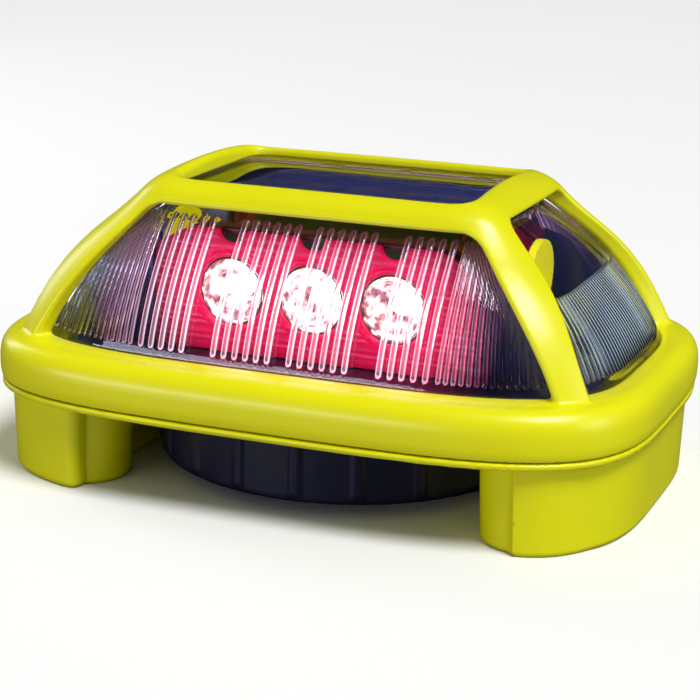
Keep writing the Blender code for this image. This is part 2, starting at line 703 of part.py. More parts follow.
def make_switch():
    """Sealed push-button under the floor, its bezel, and the switch it presses."""
    x, y = BUTTON_AT
    bm = bmesh.new()
    turned(bm, [(2.6, 0.0), (3.3, 0.5), (3.5, 1.3), (3.5, 2.2), (2.0, 2.2), (2.0, 5.2)], 16)
    place("power_button", bm, RUBBER, (x, y, 16.3))
    bm = bmesh.new()
    loft(bm, [circle(r, z, 20, (x, y)) for r, z in (
        (5.0, RIM_Z - GAP), (5.0, 18.0), (4.6, 17.4), (3.9, 17.4), (3.9, RIM_Z - GAP))], loop=True)
    place("button_bezel", bm, BLACK)
    bm = bmesh.new()
    block(bm, (x - 2.6, y - 2.6, PARTING_Z + 1.0 + GAP), (x + 2.6, y + 2.6, 27.6))
    place("switch_body", bm, BLACK)


def main():
    clear_scene()
    axis = bpy.data.objects.new("cap_axis", None)
    axis.location.z = CAP_BOTTOM_Z * MM
    bpy.context.scene.collection.objects.link(axis)
    make_guard()
    make_base()
    make_lens()
    make_gasket()
    make_case_screws()
    make_cap(axis)
    make_cap_seal(axis)
    make_holder()
    make_cells()
    make_chassis()
    for side, turn in (("front", 0.0), ("back", math.pi)):
        make_housing(side, turn)
        make_lamp_side(side, turn)
    make_end_brackets()
    make_solar_panel()
    make_control_board()
    make_leads()
    make_switch()


main()
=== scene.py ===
"""Barricade warning light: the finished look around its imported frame.

Lengths in the classes are in millimetres and become metres where meshes are made.
X runs along the long side, the front lamps face -Y, and Z = 0 is the plane of the feet.
"""

import logging
import math
from collections.abc import Callable
from dataclasses import dataclass, field
from enum import Enum

import bmesh
import bpy
import numpy as np
from mathutils import Matrix, Vector


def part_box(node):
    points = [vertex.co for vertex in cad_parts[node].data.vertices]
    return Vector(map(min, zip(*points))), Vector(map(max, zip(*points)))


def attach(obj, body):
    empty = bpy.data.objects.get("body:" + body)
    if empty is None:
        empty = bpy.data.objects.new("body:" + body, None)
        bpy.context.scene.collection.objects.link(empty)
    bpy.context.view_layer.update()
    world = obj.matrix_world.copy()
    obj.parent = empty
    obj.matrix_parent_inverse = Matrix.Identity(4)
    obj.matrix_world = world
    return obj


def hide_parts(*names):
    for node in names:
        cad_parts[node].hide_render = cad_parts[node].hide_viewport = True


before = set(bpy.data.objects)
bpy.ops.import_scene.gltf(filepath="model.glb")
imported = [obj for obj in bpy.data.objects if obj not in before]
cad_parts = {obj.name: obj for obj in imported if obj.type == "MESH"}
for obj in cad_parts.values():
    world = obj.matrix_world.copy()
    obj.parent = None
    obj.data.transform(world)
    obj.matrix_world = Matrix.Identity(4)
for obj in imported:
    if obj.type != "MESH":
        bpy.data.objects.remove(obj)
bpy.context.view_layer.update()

logging.basicConfig(level=logging.INFO, format="%(message)s")
log = logging.getLogger("warning_light")

MM = 0.001
PAINTED_RIB_LIGHT = "painted_rib_light"  # point attribute of the lens with the painted light of its ribs: lamp light on the long faces, highlights on the ends
Socket = bpy.types.NodeSocket
Values = float | np.ndarray
Field = Callable[[np.ndarray, np.ndarray, np.ndarray], np.ndarray]
Spin = Callable[[float, float, float], float]
Pair = tuple[float, float]
Point = tuple[float, float, float]
Level = tuple[float, float, float, float, bool]
Colour = tuple[float, float, float]


class Side(Enum):
    """The two lamp sides of the light: the value is the sign of Y."""

    FRONT = -1
    BACK = 1


# Meshes from implicit solids ----------------------------------------------------------


def outer_round(a: np.ndarray, b: np.ndarray, radius: float) -> np.ndarray:
    """Intersection of two solids with its edge rounded.

    Args:
        a: Signed distance to the first solid, negative inside.
        b: Signed distance to the second solid.
        radius: Radius of the rounded edge.

    Returns:
        Signed distance to the rounded intersection.
    """
    reach = np.hypot(np.maximum(a + radius, 0), np.maximum(b + radius, 0))
    return np.minimum(-radius, np.maximum(a, b)) + reach


def inner_round(a: np.ndarray, b: np.ndarray, radius: float) -> np.ndarray:
    """Union of two solids with a fillet in its corner.

    Args:
        a: Signed distance to the first solid, negative inside.
        b: Signed distance to the second solid.
        radius: Radius of the fillet.

    Returns:
        Signed distance to the filleted union.
    """
    reach = np.hypot(np.maximum(radius - a, 0), np.maximum(radius - b, 0))
    return np.maximum(radius, np.minimum(a, b)) - reach


def bowed_distance(x: np.ndarray, y: np.ndarray, half_x: Values, half_y: Values,
                   power: Values) -> np.ndarray:
    """Distance in plan to a bowed rectangle.

    Args:
        x: X of the points.
        y: Y of the points.
        half_x: Half length of the rectangle, one number or one for each height.
        half_y: Half width of the rectangle.
        power: Squareness: 2 is an ellipse, and more is squarer.

    Returns:
        Signed distance, negative inside.
    """
    u = np.abs(x) / half_x + 1e-9
    v = np.abs(y) / half_y + 1e-9
    reach = (u**power + v**power) ** (1 / power)
    slope_x = (u / reach) ** (power - 1) / half_x
    slope_y = (v / reach) ** (power - 1) / half_y
    return (reach - 1) / np.hypot(slope_x, slope_y)


def column_distance(x: np.ndarray, y: np.ndarray, at: Pair, radius: float) -> np.ndarray:
    """Signed distance in plan to an upright round column at a plan position."""
    return np.hypot(x - at[0], y - at[1]) - radius


@dataclass(frozen=True)
class FieldSolid:
    """Turns a signed field into a closed quad mesh whose points lie on its surface."""

    low: Point
    high: Point
    cell: float
    least_slope: float = 0.05

    def corners(self) -> tuple[np.ndarray, np.ndarray, np.ndarray]:
        """Sample places along X, Y and Z, shaped so that they broadcast to a grid."""
        axes = [np.arange(a, b + self.cell, self.cell) for a, b in zip(self.low, self.high)]
        return axes[0][:, None, None], axes[1][None, :, None], axes[2][None, None, :]

    def cells_of(self, values: np.ndarray) -> tuple[np.ndarray, np.ndarray]:
        """Finds the cells that the surface crosses and a first point in each.

        Args:
            values: Field at the corners of the grid.

        Returns:
            The grid of point numbers, -1 where there is none, and the points.
        """
        inside = values < 0
        count = np.zeros(tuple(n - 1 for n in values.shape), np.int8)
        offsets = [(i, j, k) for i in (0, 1) for j in (0, 1) for k in (0, 1)]
        nx, ny, nz = count.shape
        for i, j, k in offsets:
            count += inside[i:i + nx, j:j + ny, k:k + nz]
        active = (count > 0) & (count < 8)
        index = np.full(count.shape, -1, np.int64)
        places = np.argwhere(active)
        index[active] = np.arange(len(places))
        held = {o: values[tuple((places + o).T)] for o in offsets}
        total = np.zeros((len(places), 3))
        crossings = np.zeros(len(places))
        for start in offsets:
            for axis in range(3):
                if start[axis]:
                    continue
                end = tuple(s + (a == axis) for a, s in enumerate(start))
                first, last = held[start], held[end]
                cut = (first < 0) != (last < 0)
                share = np.where(cut, first / np.where(cut, first - last, 1.0), 0.0)
                for a in range(3):
                    total[:, a] += cut * (start[a] + (share if a == axis else 0.0))
                crossings += cut
        points = np.array(self.low) + self.cell * (places + total / crossings[:, None])
        return index, points

    @staticmethod
    def quads_of(values: np.ndarray, index: np.ndarray) -> np.ndarray:
        """Joins the points of the four cells round every grid edge that the surface cuts.

        Args:
            values: Field at the corners of the grid.
            index: Grid of point numbers.

        Returns:
            Four point numbers for each face, facing outwards.
        """
        inside = values < 0
        quads = []
        for axis in range(3):
            near = np.moveaxis(inside, axis, 0)
            numbers = np.moveaxis(index, axis, 0)
            if axis == 1:
                near, numbers = near.swapaxes(1, 2), numbers.swapaxes(1, 2)
            first, last = near[:-1, 1:-1, 1:-1], near[1:, 1:-1, 1:-1]
            i, j, k = np.nonzero(first != last)
            around = [numbers[i, j + a, k + b] for a, b in ((0, 0), (1, 0), (1, 1), (0, 1))]
            faces = np.stack(around, 1)
            turned = ~first[i, j, k]
            faces[turned] = faces[turned][:, ::-1]
            quads.append(faces)
        return np.concatenate(quads)

    @staticmethod
    def slope(shape: Field, points: np.ndarray) -> tuple[np.ndarray, np.ndarray]:
        """Value and gradient of the field at the points.

        Args:
            shape: The signed field.
            points: Points to read it at.

        Returns:
            The values and the gradients.
        """
        step = 0.02
        value = shape(*points.T)
        rise = np.empty_like(points)
        for axis in range(3):
            ahead, behind = points.copy(), points.copy()
            ahead[:, axis] += step
            behind[:, axis] -= step
            rise[:, axis] = (shape(*ahead.T) - shape(*behind.T)) / (2 * step)
        return value, rise

    def settle(self, shape: Field, points: np.ndarray,
               quads: np.ndarray) -> tuple[np.ndarray, np.ndarray]:
        """Evens out the mesh and puts every point on the surface.

        Args:
            shape: The signed field.
            points: Points near the surface.
            quads: Faces between them.

        Returns:
            The settled points and the outward direction at each.
        """
        ends = np.concatenate([quads[:, [i, (i + 1) % 4]] for i in range(4)])
        count = sum(np.bincount(ends[:, i], minlength=len(points)) for i in (0, 1))
        for _ in range(4):
            value, rise = self.slope(shape, points)
            size = np.maximum((rise**2).sum(1), self.least_slope)
            step = np.clip(value / size, -self.cell, self.cell)
            points = points - rise * step[:, None]
            middle = np.empty_like(points)
            for axis in range(3):
                column = points[:, axis]
                middle[:, axis] = np.bincount(ends[:, 0], column[ends[:, 1]], len(points))
                middle[:, axis] += np.bincount(ends[:, 1], column[ends[:, 0]], len(points))
            drift = middle / np.maximum(count, 1)[:, None] - points
            normal = rise / np.sqrt(size)[:, None]
            drift -= normal * (drift * normal).sum(1)[:, None]
            points = points + 0.5 * drift
        for _ in range(3):
            value, rise = self.slope(shape, points)
            size = np.maximum((rise**2).sum(1), self.least_slope)
            step = np.clip(value / size, -0.5 * self.cell, 0.5 * self.cell)
            points = points - rise * step[:, None]
        _, rise = self.slope(shape, points)
        return points, rise / np.maximum(np.linalg.norm(rise, axis=1), 1e-9)[:, None]

    def mesh(self, name: str, shape: Field) -> bpy.types.Object:
        """Builds the named object of this field, in metres, with exact shading normals.

        Args:
            name: Name of the piece.
            shape: The signed field.

        Returns:
            The new object.
        """
        values = shape(*self.corners())
        index, points = self.cells_of(values)
        quads = self.quads_of(values, index)
        points, normals = self.settle(shape, points, quads)
        made = solid_object(name, points, quads)
        made.data.normals_split_custom_set_from_vertices(normals.tolist())
        return made


def placed(mesh: bpy.types.Mesh) -> bpy.types.Object:
    """Puts a mesh into the scene as a smooth-shaded object of its own name.

    Args:
        mesh: The finished mesh.

    Returns:
        The new object.
    """
    mesh.polygons.foreach_set("use_smooth", [True] * len(mesh.polygons))
    made = bpy.data.objects.new(mesh.name, mesh)
    bpy.context.scene.collection.objects.link(made)
    return made


def solid_object(name: str, points: np.ndarray | list, faces: np.ndarray | list) -> bpy.types.Object:
    """Makes a smooth-shaded object in the scene.

    Args:
        name: Name of the piece.
        points: Points in millimetres.
        faces: Point numbers of each face.

    Returns:
        The new object.
    """
    mesh = bpy.data.meshes.new(name)
    corners = faces if isinstance(faces, list) else faces.tolist()
    mesh.from_pydata((np.asarray(points, float) * MM).tolist(), [], corners)
    mesh.update()
    return placed(mesh)


def lathe(name: str, profile: list[Pair], count: int, at: Point = (0, 0, 0), axis: str = "Z",
          spin: Spin | None = None, crisp: float = 40.0) -> bpy.types.Object:
    """Turns a profile of (radius, height) pairs into a closed solid.

    Args:
        name: Name of the piece.
        profile: Section from one end of the axis to the other, in millimetres.
        count: Steps round the axis.
        at: Foot of the axis, in millimetres.
        axis: Axis that the heights run along, with a minus sign to reverse it.
        spin: Optional change of radius, from angle, radius and height.
        crisp: Edge angle in degrees above which shading is sharp.

    Returns:
        The new object.
    """
    points, rows = [], []
    for radius, height in profile:
        if radius < 1e-6:
            rows.append([len(points)] * count)
            points.append((0.0, 0.0, height))
            continue
        rows.append(list(range(len(points), len(points) + count)))
        for i in range(count):
            angle = 2 * math.pi * i / count
            reach = radius + (spin(angle, radius, height) if spin else 0.0)
            points.append((reach * math.cos(angle), reach * math.sin(angle), height))
    faces = []
    for low, high in zip(rows, rows[1:]):
        for i in range(count):
            j = (i + 1) % count
            corners = list(dict.fromkeys((low[i], low[j], high[j], high[i])))
            if len(corners) > 2:
                faces.append(corners)
    if len(set(rows[0])) > 1:
        faces.append(rows[0][::-1])
    if len(set(rows[-1])) > 1:
        faces.append(rows[-1])
    way = -1.0 if axis.startswith("-") else 1.0
    turns = {"X": (2, 0, 1), "Y": (1, 2, 0), "Z": (0, 1, 2)}[axis[-1]]
    moved = []
    for point in points:
        flipped = (point[0], way * point[1], way * point[2])
        moved.append(tuple(at[a] + flipped[turns[a]] for a in range(3)))
    made = solid_object(name, moved, faces)
    mesh = made.data
    cleaner = bmesh.new()
    cleaner.from_mesh(mesh)
    bmesh.ops.recalc_face_normals(cleaner, faces=cleaner.faces)
    cleaner.to_mesh(mesh)
    cleaner.free()
    mesh.set_sharp_from_angle(angle=math.radians(crisp))
    return made


def rounded_block(name: str, low: Point, high: Point, radius: float, segments: int = 3) -> bpy.types.Object:
    """Makes a box with rounded edges.

    Args:
        name: Name of the piece.
        low: Its corner of least X, Y and Z, in millimetres.
        high: The opposite corner.
        radius: Radius of the edges.
        segments: Steps across each edge.

    Returns:
        The new object.
    """
    builder = bmesh.new()
    bmesh.ops.create_cube(builder, size=1.0)
    size = [b - a for a, b in zip(low, high)]
    middle = [(a + b) / 2 for a, b in zip(low, high)]
    for vertex in builder.verts:
        vertex.co = Vector(middle[a] + vertex.co[a] * size[a] for a in range(3)) * MM
    bmesh.ops.bevel(builder, geom=builder.edges[:], offset=radius * MM, segments=segments, profile=0.5,
                    affect="EDGES")
    mesh = bpy.data.meshes.new(name)
    builder.to_mesh(mesh)
    builder.free()
    made = placed(mesh)
    mesh.set_sharp_from_angle(angle=math.radians(50))
    return made


# Finishes -----------------------------------------------------------------------------


class Graph:
    """A small builder for the nodes of one finish."""

    def __init__(self, name: str) -> None:
        """Starts an empty finish with one main shader.

        Args:
            name: Name of the finish.
        """
        self.material = bpy.data.materials.new(name)
        self.material.use_nodes = True
        self.tree = self.material.node_tree
        self.tree.nodes.clear()
        self.output = self.tree.nodes.new("ShaderNodeOutputMaterial")
        self.shader = self.tree.nodes.new("ShaderNodeBsdfPrincipled")
        self.link(self.shader.outputs[0], self.output.inputs["Surface"])
        self.place = self.tree.nodes.new("ShaderNodeTexCoord").outputs["Object"]

    def link(self, source: Socket, target: Socket) -> None:
        """Joins an output to an input."""
        self.tree.links.new(source, target)

    def feed(self, name: str, source: Socket) -> None:
        """Joins an output to the named input of the main shader."""
        self.link(source, self.shader.inputs[name])

    def set(self, **values: float | tuple) -> None:
        """Sets constants on the main shader; underscores in a name stand for spaces."""
        for name, value in values.items():
            self.shader.inputs[name.replace("_", " ")].default_value = value

    def noise(self, scale: float, detail: float = 3.0, stretch: Point = (1, 1, 1)) -> Socket:
        """A noise pattern.

        Args:
            scale: Patches to a metre.
            detail: Octaves of finer noise.
            stretch: Scale along each axis.

        Returns:
            The noise value, 0 to 1.
        """
        mapping = self.tree.nodes.new("ShaderNodeMapping")
        mapping.inputs["Scale"].default_value = stretch
        self.link(self.place, mapping.inputs["Vector"])
        noise = self.tree.nodes.new("ShaderNodeTexNoise")
        noise.inputs["Scale"].default_value = scale
        noise.inputs["Detail"].default_value = detail
        self.link(mapping.outputs[0], noise.inputs["Vector"])
        return noise.outputs["Fac"]

    def waves(self, scale: float, turn: Point = (0, 0, 0), distortion: float = 0.0) -> Socket:
        """Straight bands across X, turned by the given angles in degrees.

        Args:
            scale: Bands to a metre, times 2 pi over 20.
            turn: Rotation of the bands.
            distortion: How far noise bends them.

        Returns:
            The band value, 0 to 1.
        """
        mapping = self.tree.nodes.new("ShaderNodeMapping")
        mapping.inputs["Rotation"].default_value = [math.radians(a) for a in turn]
        self.link(self.place, mapping.inputs["Vector"])
        wave = self.tree.nodes.new("ShaderNodeTexWave")
        wave.inputs["Scale"].default_value = scale
        wave.inputs["Distortion"].default_value = distortion
        self.link(mapping.outputs[0], wave.inputs["Vector"])
        return wave.outputs["Fac"]

    def ramp(self, value: Socket, stops: list[tuple[float, Colour]]) -> Socket:
        """Turns a value into a colour.

        Args:
            value: The value to read.
            stops: Places from 0 to 1 with their colours.

        Returns:
            The colour.
        """
        ramp = self.tree.nodes.new("ShaderNodeValToRGB")
        bar = ramp.color_ramp.elements
        while len(bar) < len(stops):
            bar.new(0.5)
        for element, (place, colour) in zip(bar, stops):
            element.position = place
            element.color = (*colour, 1.0)
        self.link(value, ramp.inputs[0])
        return ramp.outputs["Color"]

    def spread(self, value: Socket, low: float, high: float,
               start: float = 0.0, end: float = 1.0) -> Socket:
        """Maps a value of start to end onto the range low to high.

        Args:
            value: The value to map.
            low: Result at the start.
            high: Result at the end.
            start: Value that gives low.
            end: Value that gives high.

        Returns:
            The mapped value.
        """
        mapped = self.tree.nodes.new("ShaderNodeMapRange")
        mapped.inputs["From Min"].default_value = start
        mapped.inputs["From Max"].default_value = end
        mapped.inputs["To Min"].default_value = low
        mapped.inputs["To Max"].default_value = high
        self.link(value, mapped.inputs["Value"])
        return mapped.outputs["Result"]

    def math(self, kind: str, a: Socket,
             b: Socket | float) -> Socket:
        """Joins two values.

        Args:
            kind: Blender's name of the operation.
            a: First value.
            b: Second value, or a constant.

        Returns:
            The result.
        """
        node = self.tree.nodes.new("ShaderNodeMath")
        node.operation = kind
        self.link(a, node.inputs[0])
        if isinstance(b, (int, float)):
            node.inputs[1].default_value = b
        else:
            self.link(b, node.inputs[1])
        return node.outputs[0]

    def split(self) -> bpy.types.Node:
        """Takes the place on the piece apart.

        Returns:
            A node with an output for each of X, Y and Z.
        """
        split = self.tree.nodes.new("ShaderNodeSeparateXYZ")
        self.link(self.place, split.inputs[0])
        return split

    def mix_shaders(self, share: Socket, first: bpy.types.Node,
                    second: bpy.types.Node) -> bpy.types.Node:
        """Mixes two shaders.

        Args:
            share: 0 for the first shader and 1 for the second.
            first: The first shader.
            second: The second shader.

        Returns:
            The mix.
        """
        mix = self.tree.nodes.new("ShaderNodeMixShader")
        self.link(share, mix.inputs[0])
        self.link(first.outputs[0], mix.inputs[1])
        self.link(second.outputs[0], mix.inputs[2])
        return mix

    def lamp_fade(self, row: tuple[float, ...], height: float, reach: float) -> Socket:
        """Strength of the painted lamp light at a place, by its distance from the nearest lamp of a row.

        Args:
            row: X of the lamps, in millimetres.
            height: Z of the lamps.
            reach: Distance at which the light has fallen by about half.

        Returns:
            About 1 at a lamp, and 0 or less far from all of them.
        """
        split = self.split()
        nearest = None
        for x in row:
            aside, above = (
                self.math("MULTIPLY", self.math("SUBTRACT", split.outputs[axis], at * MM), 1 / (reach * MM))
                for axis, at in (("X", x), ("Z", height))
            )
            far = self.math("ADD", self.math("MULTIPLY", aside, aside), self.math("MULTIPLY", above, above))
            nearest = far if nearest is None else self.math("MINIMUM", nearest, far)
        return self.math("MULTIPLY", self.math("SUBTRACT", nearest, 1.6), -0.6)

    def bump(self, height: Socket, depth_mm: float, strength: float = 1.0) -> None:
        """Gives the main shader a fine relief.

        Args:
            height: The pattern of the relief.
            depth_mm: Its depth.
            strength: How much of it shows.
        """
        bump = self.tree.nodes.new("ShaderNodeBump")
        bump.inputs["Strength"].default_value = strength
        bump.inputs["Distance"].default_value = depth_mm * MM
        self.link(height, bump.inputs["Height"])
        self.feed("Normal", bump.outputs[0])


@dataclass(frozen=True)
class MouldedPlastic:
    """Injection moulded plastic with faint flow marks and a fine skin, and an optional painted glow that
    brightens it though it is no lamp.
    """

    name: str
    colour: Colour
    shade: Colour
    roughness: float = 0.3
    grain_mm: float = 0.02
    coat: float = 0.0
    translucent: float = 0.0
    painted_glow: float = 0.0

    def build(self) -> bpy.types.Material:
        """Returns the finish."""
        graph = Graph(self.name)
        tint = graph.ramp(graph.noise(22, 4), [(0.3, self.shade), (0.7, self.colour)])
        graph.feed("Base Color", tint)
        rough = graph.spread(graph.noise(160, 3), self.roughness * 0.85, self.roughness * 1.2)
        graph.feed("Roughness", rough)
        graph.set(Coat_Weight=self.coat, Coat_Roughness=0.12, IOR=1.5)
        # Painted glow: emission in the plastic's own tint, which brightens it as if more light fell on it.
        if self.painted_glow:
            graph.feed("Emission Color", tint)
            graph.set(Emission_Strength=self.painted_glow)
        if self.translucent:
            graph.set(Subsurface_Weight=self.translucent, Subsurface_Radius=(1.0, 0.8, 0.1),
                      Subsurface_Scale=0.002)
        graph.bump(graph.noise(1500, 2), self.grain_mm, 0.35)
        return graph.material


@dataclass(frozen=True)
class ClearPlastic:
    """Clear polycarbonate that bends what is seen through it and lets lamps through; its ribs can carry
    painted light stored on the lens's points.
    """

    name: str
    tint: Colour
    roughness: float = 0.02
    ior: float = 1.49
    gloss: float = 0.5
    painted_rib_light: float = 0.0

    def build(self) -> bpy.types.Material:
        """Returns the finish."""
        graph = Graph(self.name)
        graph.set(Base_Color=(*self.tint, 1.0), Transmission_Weight=1.0, IOR=self.ior,
                  Specular_IOR_Level=self.gloss)
        rough = graph.spread(graph.noise(90, 4), self.roughness * 0.4, self.roughness * 1.6)
        graph.feed("Roughness", rough)
        graph.bump(graph.noise(60, 2), 0.02, 0.25)
        # Painted light on the ribs: an emission whose colour is stored on the lens's points.
        if self.painted_rib_light:
            light = graph.tree.nodes.new("ShaderNodeAttribute")
            light.attribute_name = PAINTED_RIB_LIGHT
            graph.feed("Emission Color", light.outputs["Color"])
            graph.set(Emission_Strength=self.painted_rib_light)
        path = graph.tree.nodes.new("ShaderNodeLightPath")
        clear = graph.tree.nodes.new("ShaderNodeBsdfTransparent")
        clear.inputs["Color"].default_value = (0.93, 0.95, 0.96, 1.0)
        mix = graph.mix_shaders(path.outputs["Is Shadow Ray"], graph.shader, clear)
        graph.link(mix.outputs[0], graph.output.inputs["Surface"])
        return graph.material


@dataclass(frozen=True)
class GlowingPlastic:
    """Plastic with painted lamp light: an emission that falls off with distance from the row of lamps close
    to it.
    """

    name: str
    colour: Colour
    shade: Colour
    painted_glow: Colour
    strength: float
    row: tuple[float, ...] = (-20.0, 0.0, 20.0)
    height: float = 45.0
    reach: float = 17.0
    face: float = 23.6

    def build(self) -> bpy.types.Material:
        """Returns the finish."""
        graph = Graph(self.name)
        tint = graph.ramp(graph.noise(140, 4, (1, 1, 3)), [(0.3, self.shade), (0.7, self.colour)])
        graph.feed("Base Color", tint)
        graph.feed("Roughness", graph.spread(graph.noise(300, 2), 0.16, 0.3))
        # Painted lamp light: it fades with distance from the lamps, shows only on the faces that look
        # outwards, and varies in patches.
        graph.set(Emission_Color=(*self.painted_glow, 1.0))
        fade = graph.math("MAXIMUM", graph.lamp_fade(self.row, self.height, self.reach), 0.06)
        depth = graph.math("ABSOLUTE", graph.split().outputs["Y"], 0.0)
        outward = graph.math("SUBTRACT", depth, self.face * MM)
        lit = graph.math("MINIMUM", graph.math("MAXIMUM", graph.math("MULTIPLY", outward, 900.0), 0.0), 1.0)
        fade = graph.math("MULTIPLY", fade, lit)
        patchy = graph.spread(graph.noise(260, 3, (1, 1, 2)), 0.7, 1.3)
        level = graph.math("MULTIPLY", graph.math("MULTIPLY", fade, patchy), self.strength)
        graph.feed("Emission Strength", level)
        graph.bump(graph.waves(260, (0, 90, 0)), 0.08, 0.5)
        return graph.material


@dataclass(frozen=True)
class PlatedMetal:
    """Bright plated metal with fine brushing."""

    name: str
    colour: Colour
    roughness: float = 0.25

    def build(self) -> bpy.types.Material:
        """Returns the finish."""
        graph = Graph(self.name)
        dark = tuple(c * 0.8 for c in self.colour)
        tint = graph.ramp(graph.noise(250, 4), [(0.3, dark), (0.7, self.colour)])
        graph.feed("Base Color", tint)
        graph.set(Metallic=1.0)
        rough = graph.spread(graph.noise(500, 3, (1, 1, 6)), self.roughness * 0.7, self.roughness * 1.4)
        graph.feed("Roughness", rough)
        graph.bump(graph.noise(900, 2, (1, 1, 8)), 0.01, 0.3)
        return graph.material


@dataclass(frozen=True)
class LampGlow:
    """An emitting surface, white-hot with slightly cooler patches: the LEDs' own light, and painted lamp
    light on the reflector cups.
    """

    name: str
    hot: Colour
    cool: Colour
    low: float
    high: float
    scale: float = 420.0

    def build(self) -> bpy.types.Material:
        """Returns the finish."""
        graph = Graph(self.name)
        graph.set(Base_Color=(0.12, 0.05, 0.05, 1.0), Roughness=0.2)
        patches = graph.noise(self.scale, 2)
        colour = graph.ramp(patches, [(0.4, self.cool), (0.54, self.hot)])
        graph.feed("Emission Color", colour)
        level = graph.spread(patches, self.low, self.high, 0.36, 0.62)
        graph.feed("Emission Strength", level)
        return graph.material


@dataclass(frozen=True)
class SolarCells:
    """Dark crystalline cells with fine silver grid lines."""

    name: str
    dark: Colour = (0.005, 0.007, 0.035)
    light: Colour = (0.014, 0.02, 0.12)
    grid: Colour = (0.22, 0.28, 0.6)

    def build(self) -> bpy.types.Material:
        """Returns the finish."""
        graph = Graph(self.name)
        crystals = graph.ramp(graph.noise(120, 5, (1, 2.2, 1)), [(0.3, self.dark), (0.72, self.light)])
        streaks = graph.math("POWER", graph.waves(230, (0, 0, 38), 1.2), 9.0)
        mix = graph.tree.nodes.new("ShaderNodeMix")
        mix.data_type = "RGBA"
        graph.link(graph.math("MULTIPLY", streaks, 0.5), mix.inputs["Factor"])
        graph.link(crystals, mix.inputs[6])
        mix.inputs[7].default_value = (*self.grid, 1.0)
        graph.feed("Base Color", mix.outputs[2])
        graph.feed("Roughness", graph.spread(graph.noise(200, 3), 0.18, 0.32))
        graph.set(Coat_Weight=0.6, Coat_Roughness=0.05)
        return graph.material


class Finishes:
    """Every finish of the light, built once."""

    def __init__(self) -> None:
        """Builds the finishes."""
        self.yellow = MouldedPlastic(
            "yellow_guard_plastic", (0.82, 0.79, 0.0), (0.77, 0.745, 0.0), 0.32, 0.015, 0.1).build()
        # The brackets get a painted glow that brightens them as if more light reached them through the lens.
        self.bracket = MouldedPlastic(
            "bracket_yellow_plastic", (0.86, 0.80, 0.0), (0.80, 0.74, 0.0), 0.3, painted_glow=0.55).build()
        self.slate = MouldedPlastic(
            "shroud_slate_plastic", (0.035, 0.055, 0.11), (0.006, 0.009, 0.03), 0.2, 0.08).build()
        self.cap_black = MouldedPlastic(
            "cap_black_plastic", (0.012, 0.012, 0.040), (0.008, 0.008, 0.028), 0.33, 0.03).build()
        self.inner_black = MouldedPlastic(
            "inner_navy_plastic", (0.008, 0.008, 0.02), (0.005, 0.005, 0.012), 0.3, 0.03).build()
        self.rubber = MouldedPlastic(
            "seal_rubber", (0.012, 0.012, 0.013), (0.007, 0.007, 0.008), 0.75, 0.08).build()
        self.board = MouldedPlastic(
            "board_green", (0.012, 0.13, 0.05), (0.008, 0.09, 0.035), 0.35, 0.03, 0.4).build()
        self.chip = MouldedPlastic(
            "chip_black", (0.02, 0.02, 0.022), (0.012, 0.012, 0.013), 0.5, 0.03).build()
        self.sleeve = MouldedPlastic(
            "cell_sleeve_green", (0.03, 0.2, 0.06), (0.02, 0.15, 0.045), 0.25, 0.01, 0.5).build()
        self.wire = MouldedPlastic("wire_red", (0.5, 0.01, 0.01), (0.4, 0.008, 0.008), 0.4, 0.02).build()
        # The lens's ribs carry painted lamp light and painted highlights.
        self.clear = ClearPlastic("clear_lens_plastic", (0.70, 0.68, 0.88), gloss=0.3, painted_rib_light=1.0).build()
        self.optic = ClearPlastic("clear_optic_plastic", (1.0, 1.0, 1.0), 0.01).build()
        # The red reflectors glow with painted lamp light; they are no lamps.
        self.red = GlowingPlastic(
            "red_reflector_plastic", (0.13, 0.002, 0.009), (0.09, 0.001, 0.006), (1.0, 0.006, 0.075),
            1.45).build()
        self.led = LampGlow("lit_led", (1.0, 0.95, 0.88), (1.0, 0.85, 0.75), 4.0, 7.0).build()
        # The reflector cups glow with painted lamp light; only the LEDs are lamps.
        self.cup = LampGlow(
            "lit_reflector_cup", (1.0, 0.92, 0.74), (1.0, 0.22, 0.2), 0.35, 3.4, 430.0).build()
        self.solar = SolarCells("solar_cell_face").build()
        self.silver = PlatedMetal("solar_grid_silver", (0.75, 0.76, 0.8), 0.3).build()
        self.steel = PlatedMetal("screw_steel", (0.62, 0.62, 0.6), 0.25).build()
        self.nickel = PlatedMetal("contact_nickel", (0.72, 0.69, 0.62), 0.25).build()


def dress(piece: bpy.types.Object, finish: bpy.types.Material) -> None:
    """Gives every slot of a piece one finish.

    Args:
        piece: The piece.
        finish: Its finish.
    """
    if not piece.data.materials:
        piece.data.materials.append(finish)
    for index in range(len(piece.material_slots)):
        piece.material_slots[index].material = finish


@dataclass
class Assembly:
    """A group of pieces that is built and dressed together."""

    finishes: Finishes

    def build(self) -> None:
        """Builds the pieces and puts them in place."""
        raise NotImplementedError

    @staticmethod
    def add(piece: bpy.types.Object, finish: bpy.types.Material, body: str, slot: str, *nodes: str) -> None:
        """Dresses a piece and places it on its body, for the plain nodes that it stands for.

        Args:
            piece: The piece.
            finish: Its finish.
            body: Moving or fixed body that it rides.
            slot: Not used.
            nodes: Plain nodes that it replaces, if any.
        """
        dress(piece, finish)
        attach(piece, body)
        if nodes:
            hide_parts(*nodes)
        log.info("%s on %s: %d faces", piece.name, body, len(piece.data.polygons))


# Lens outline, shared by the lens and the guard that follows it ------------------------


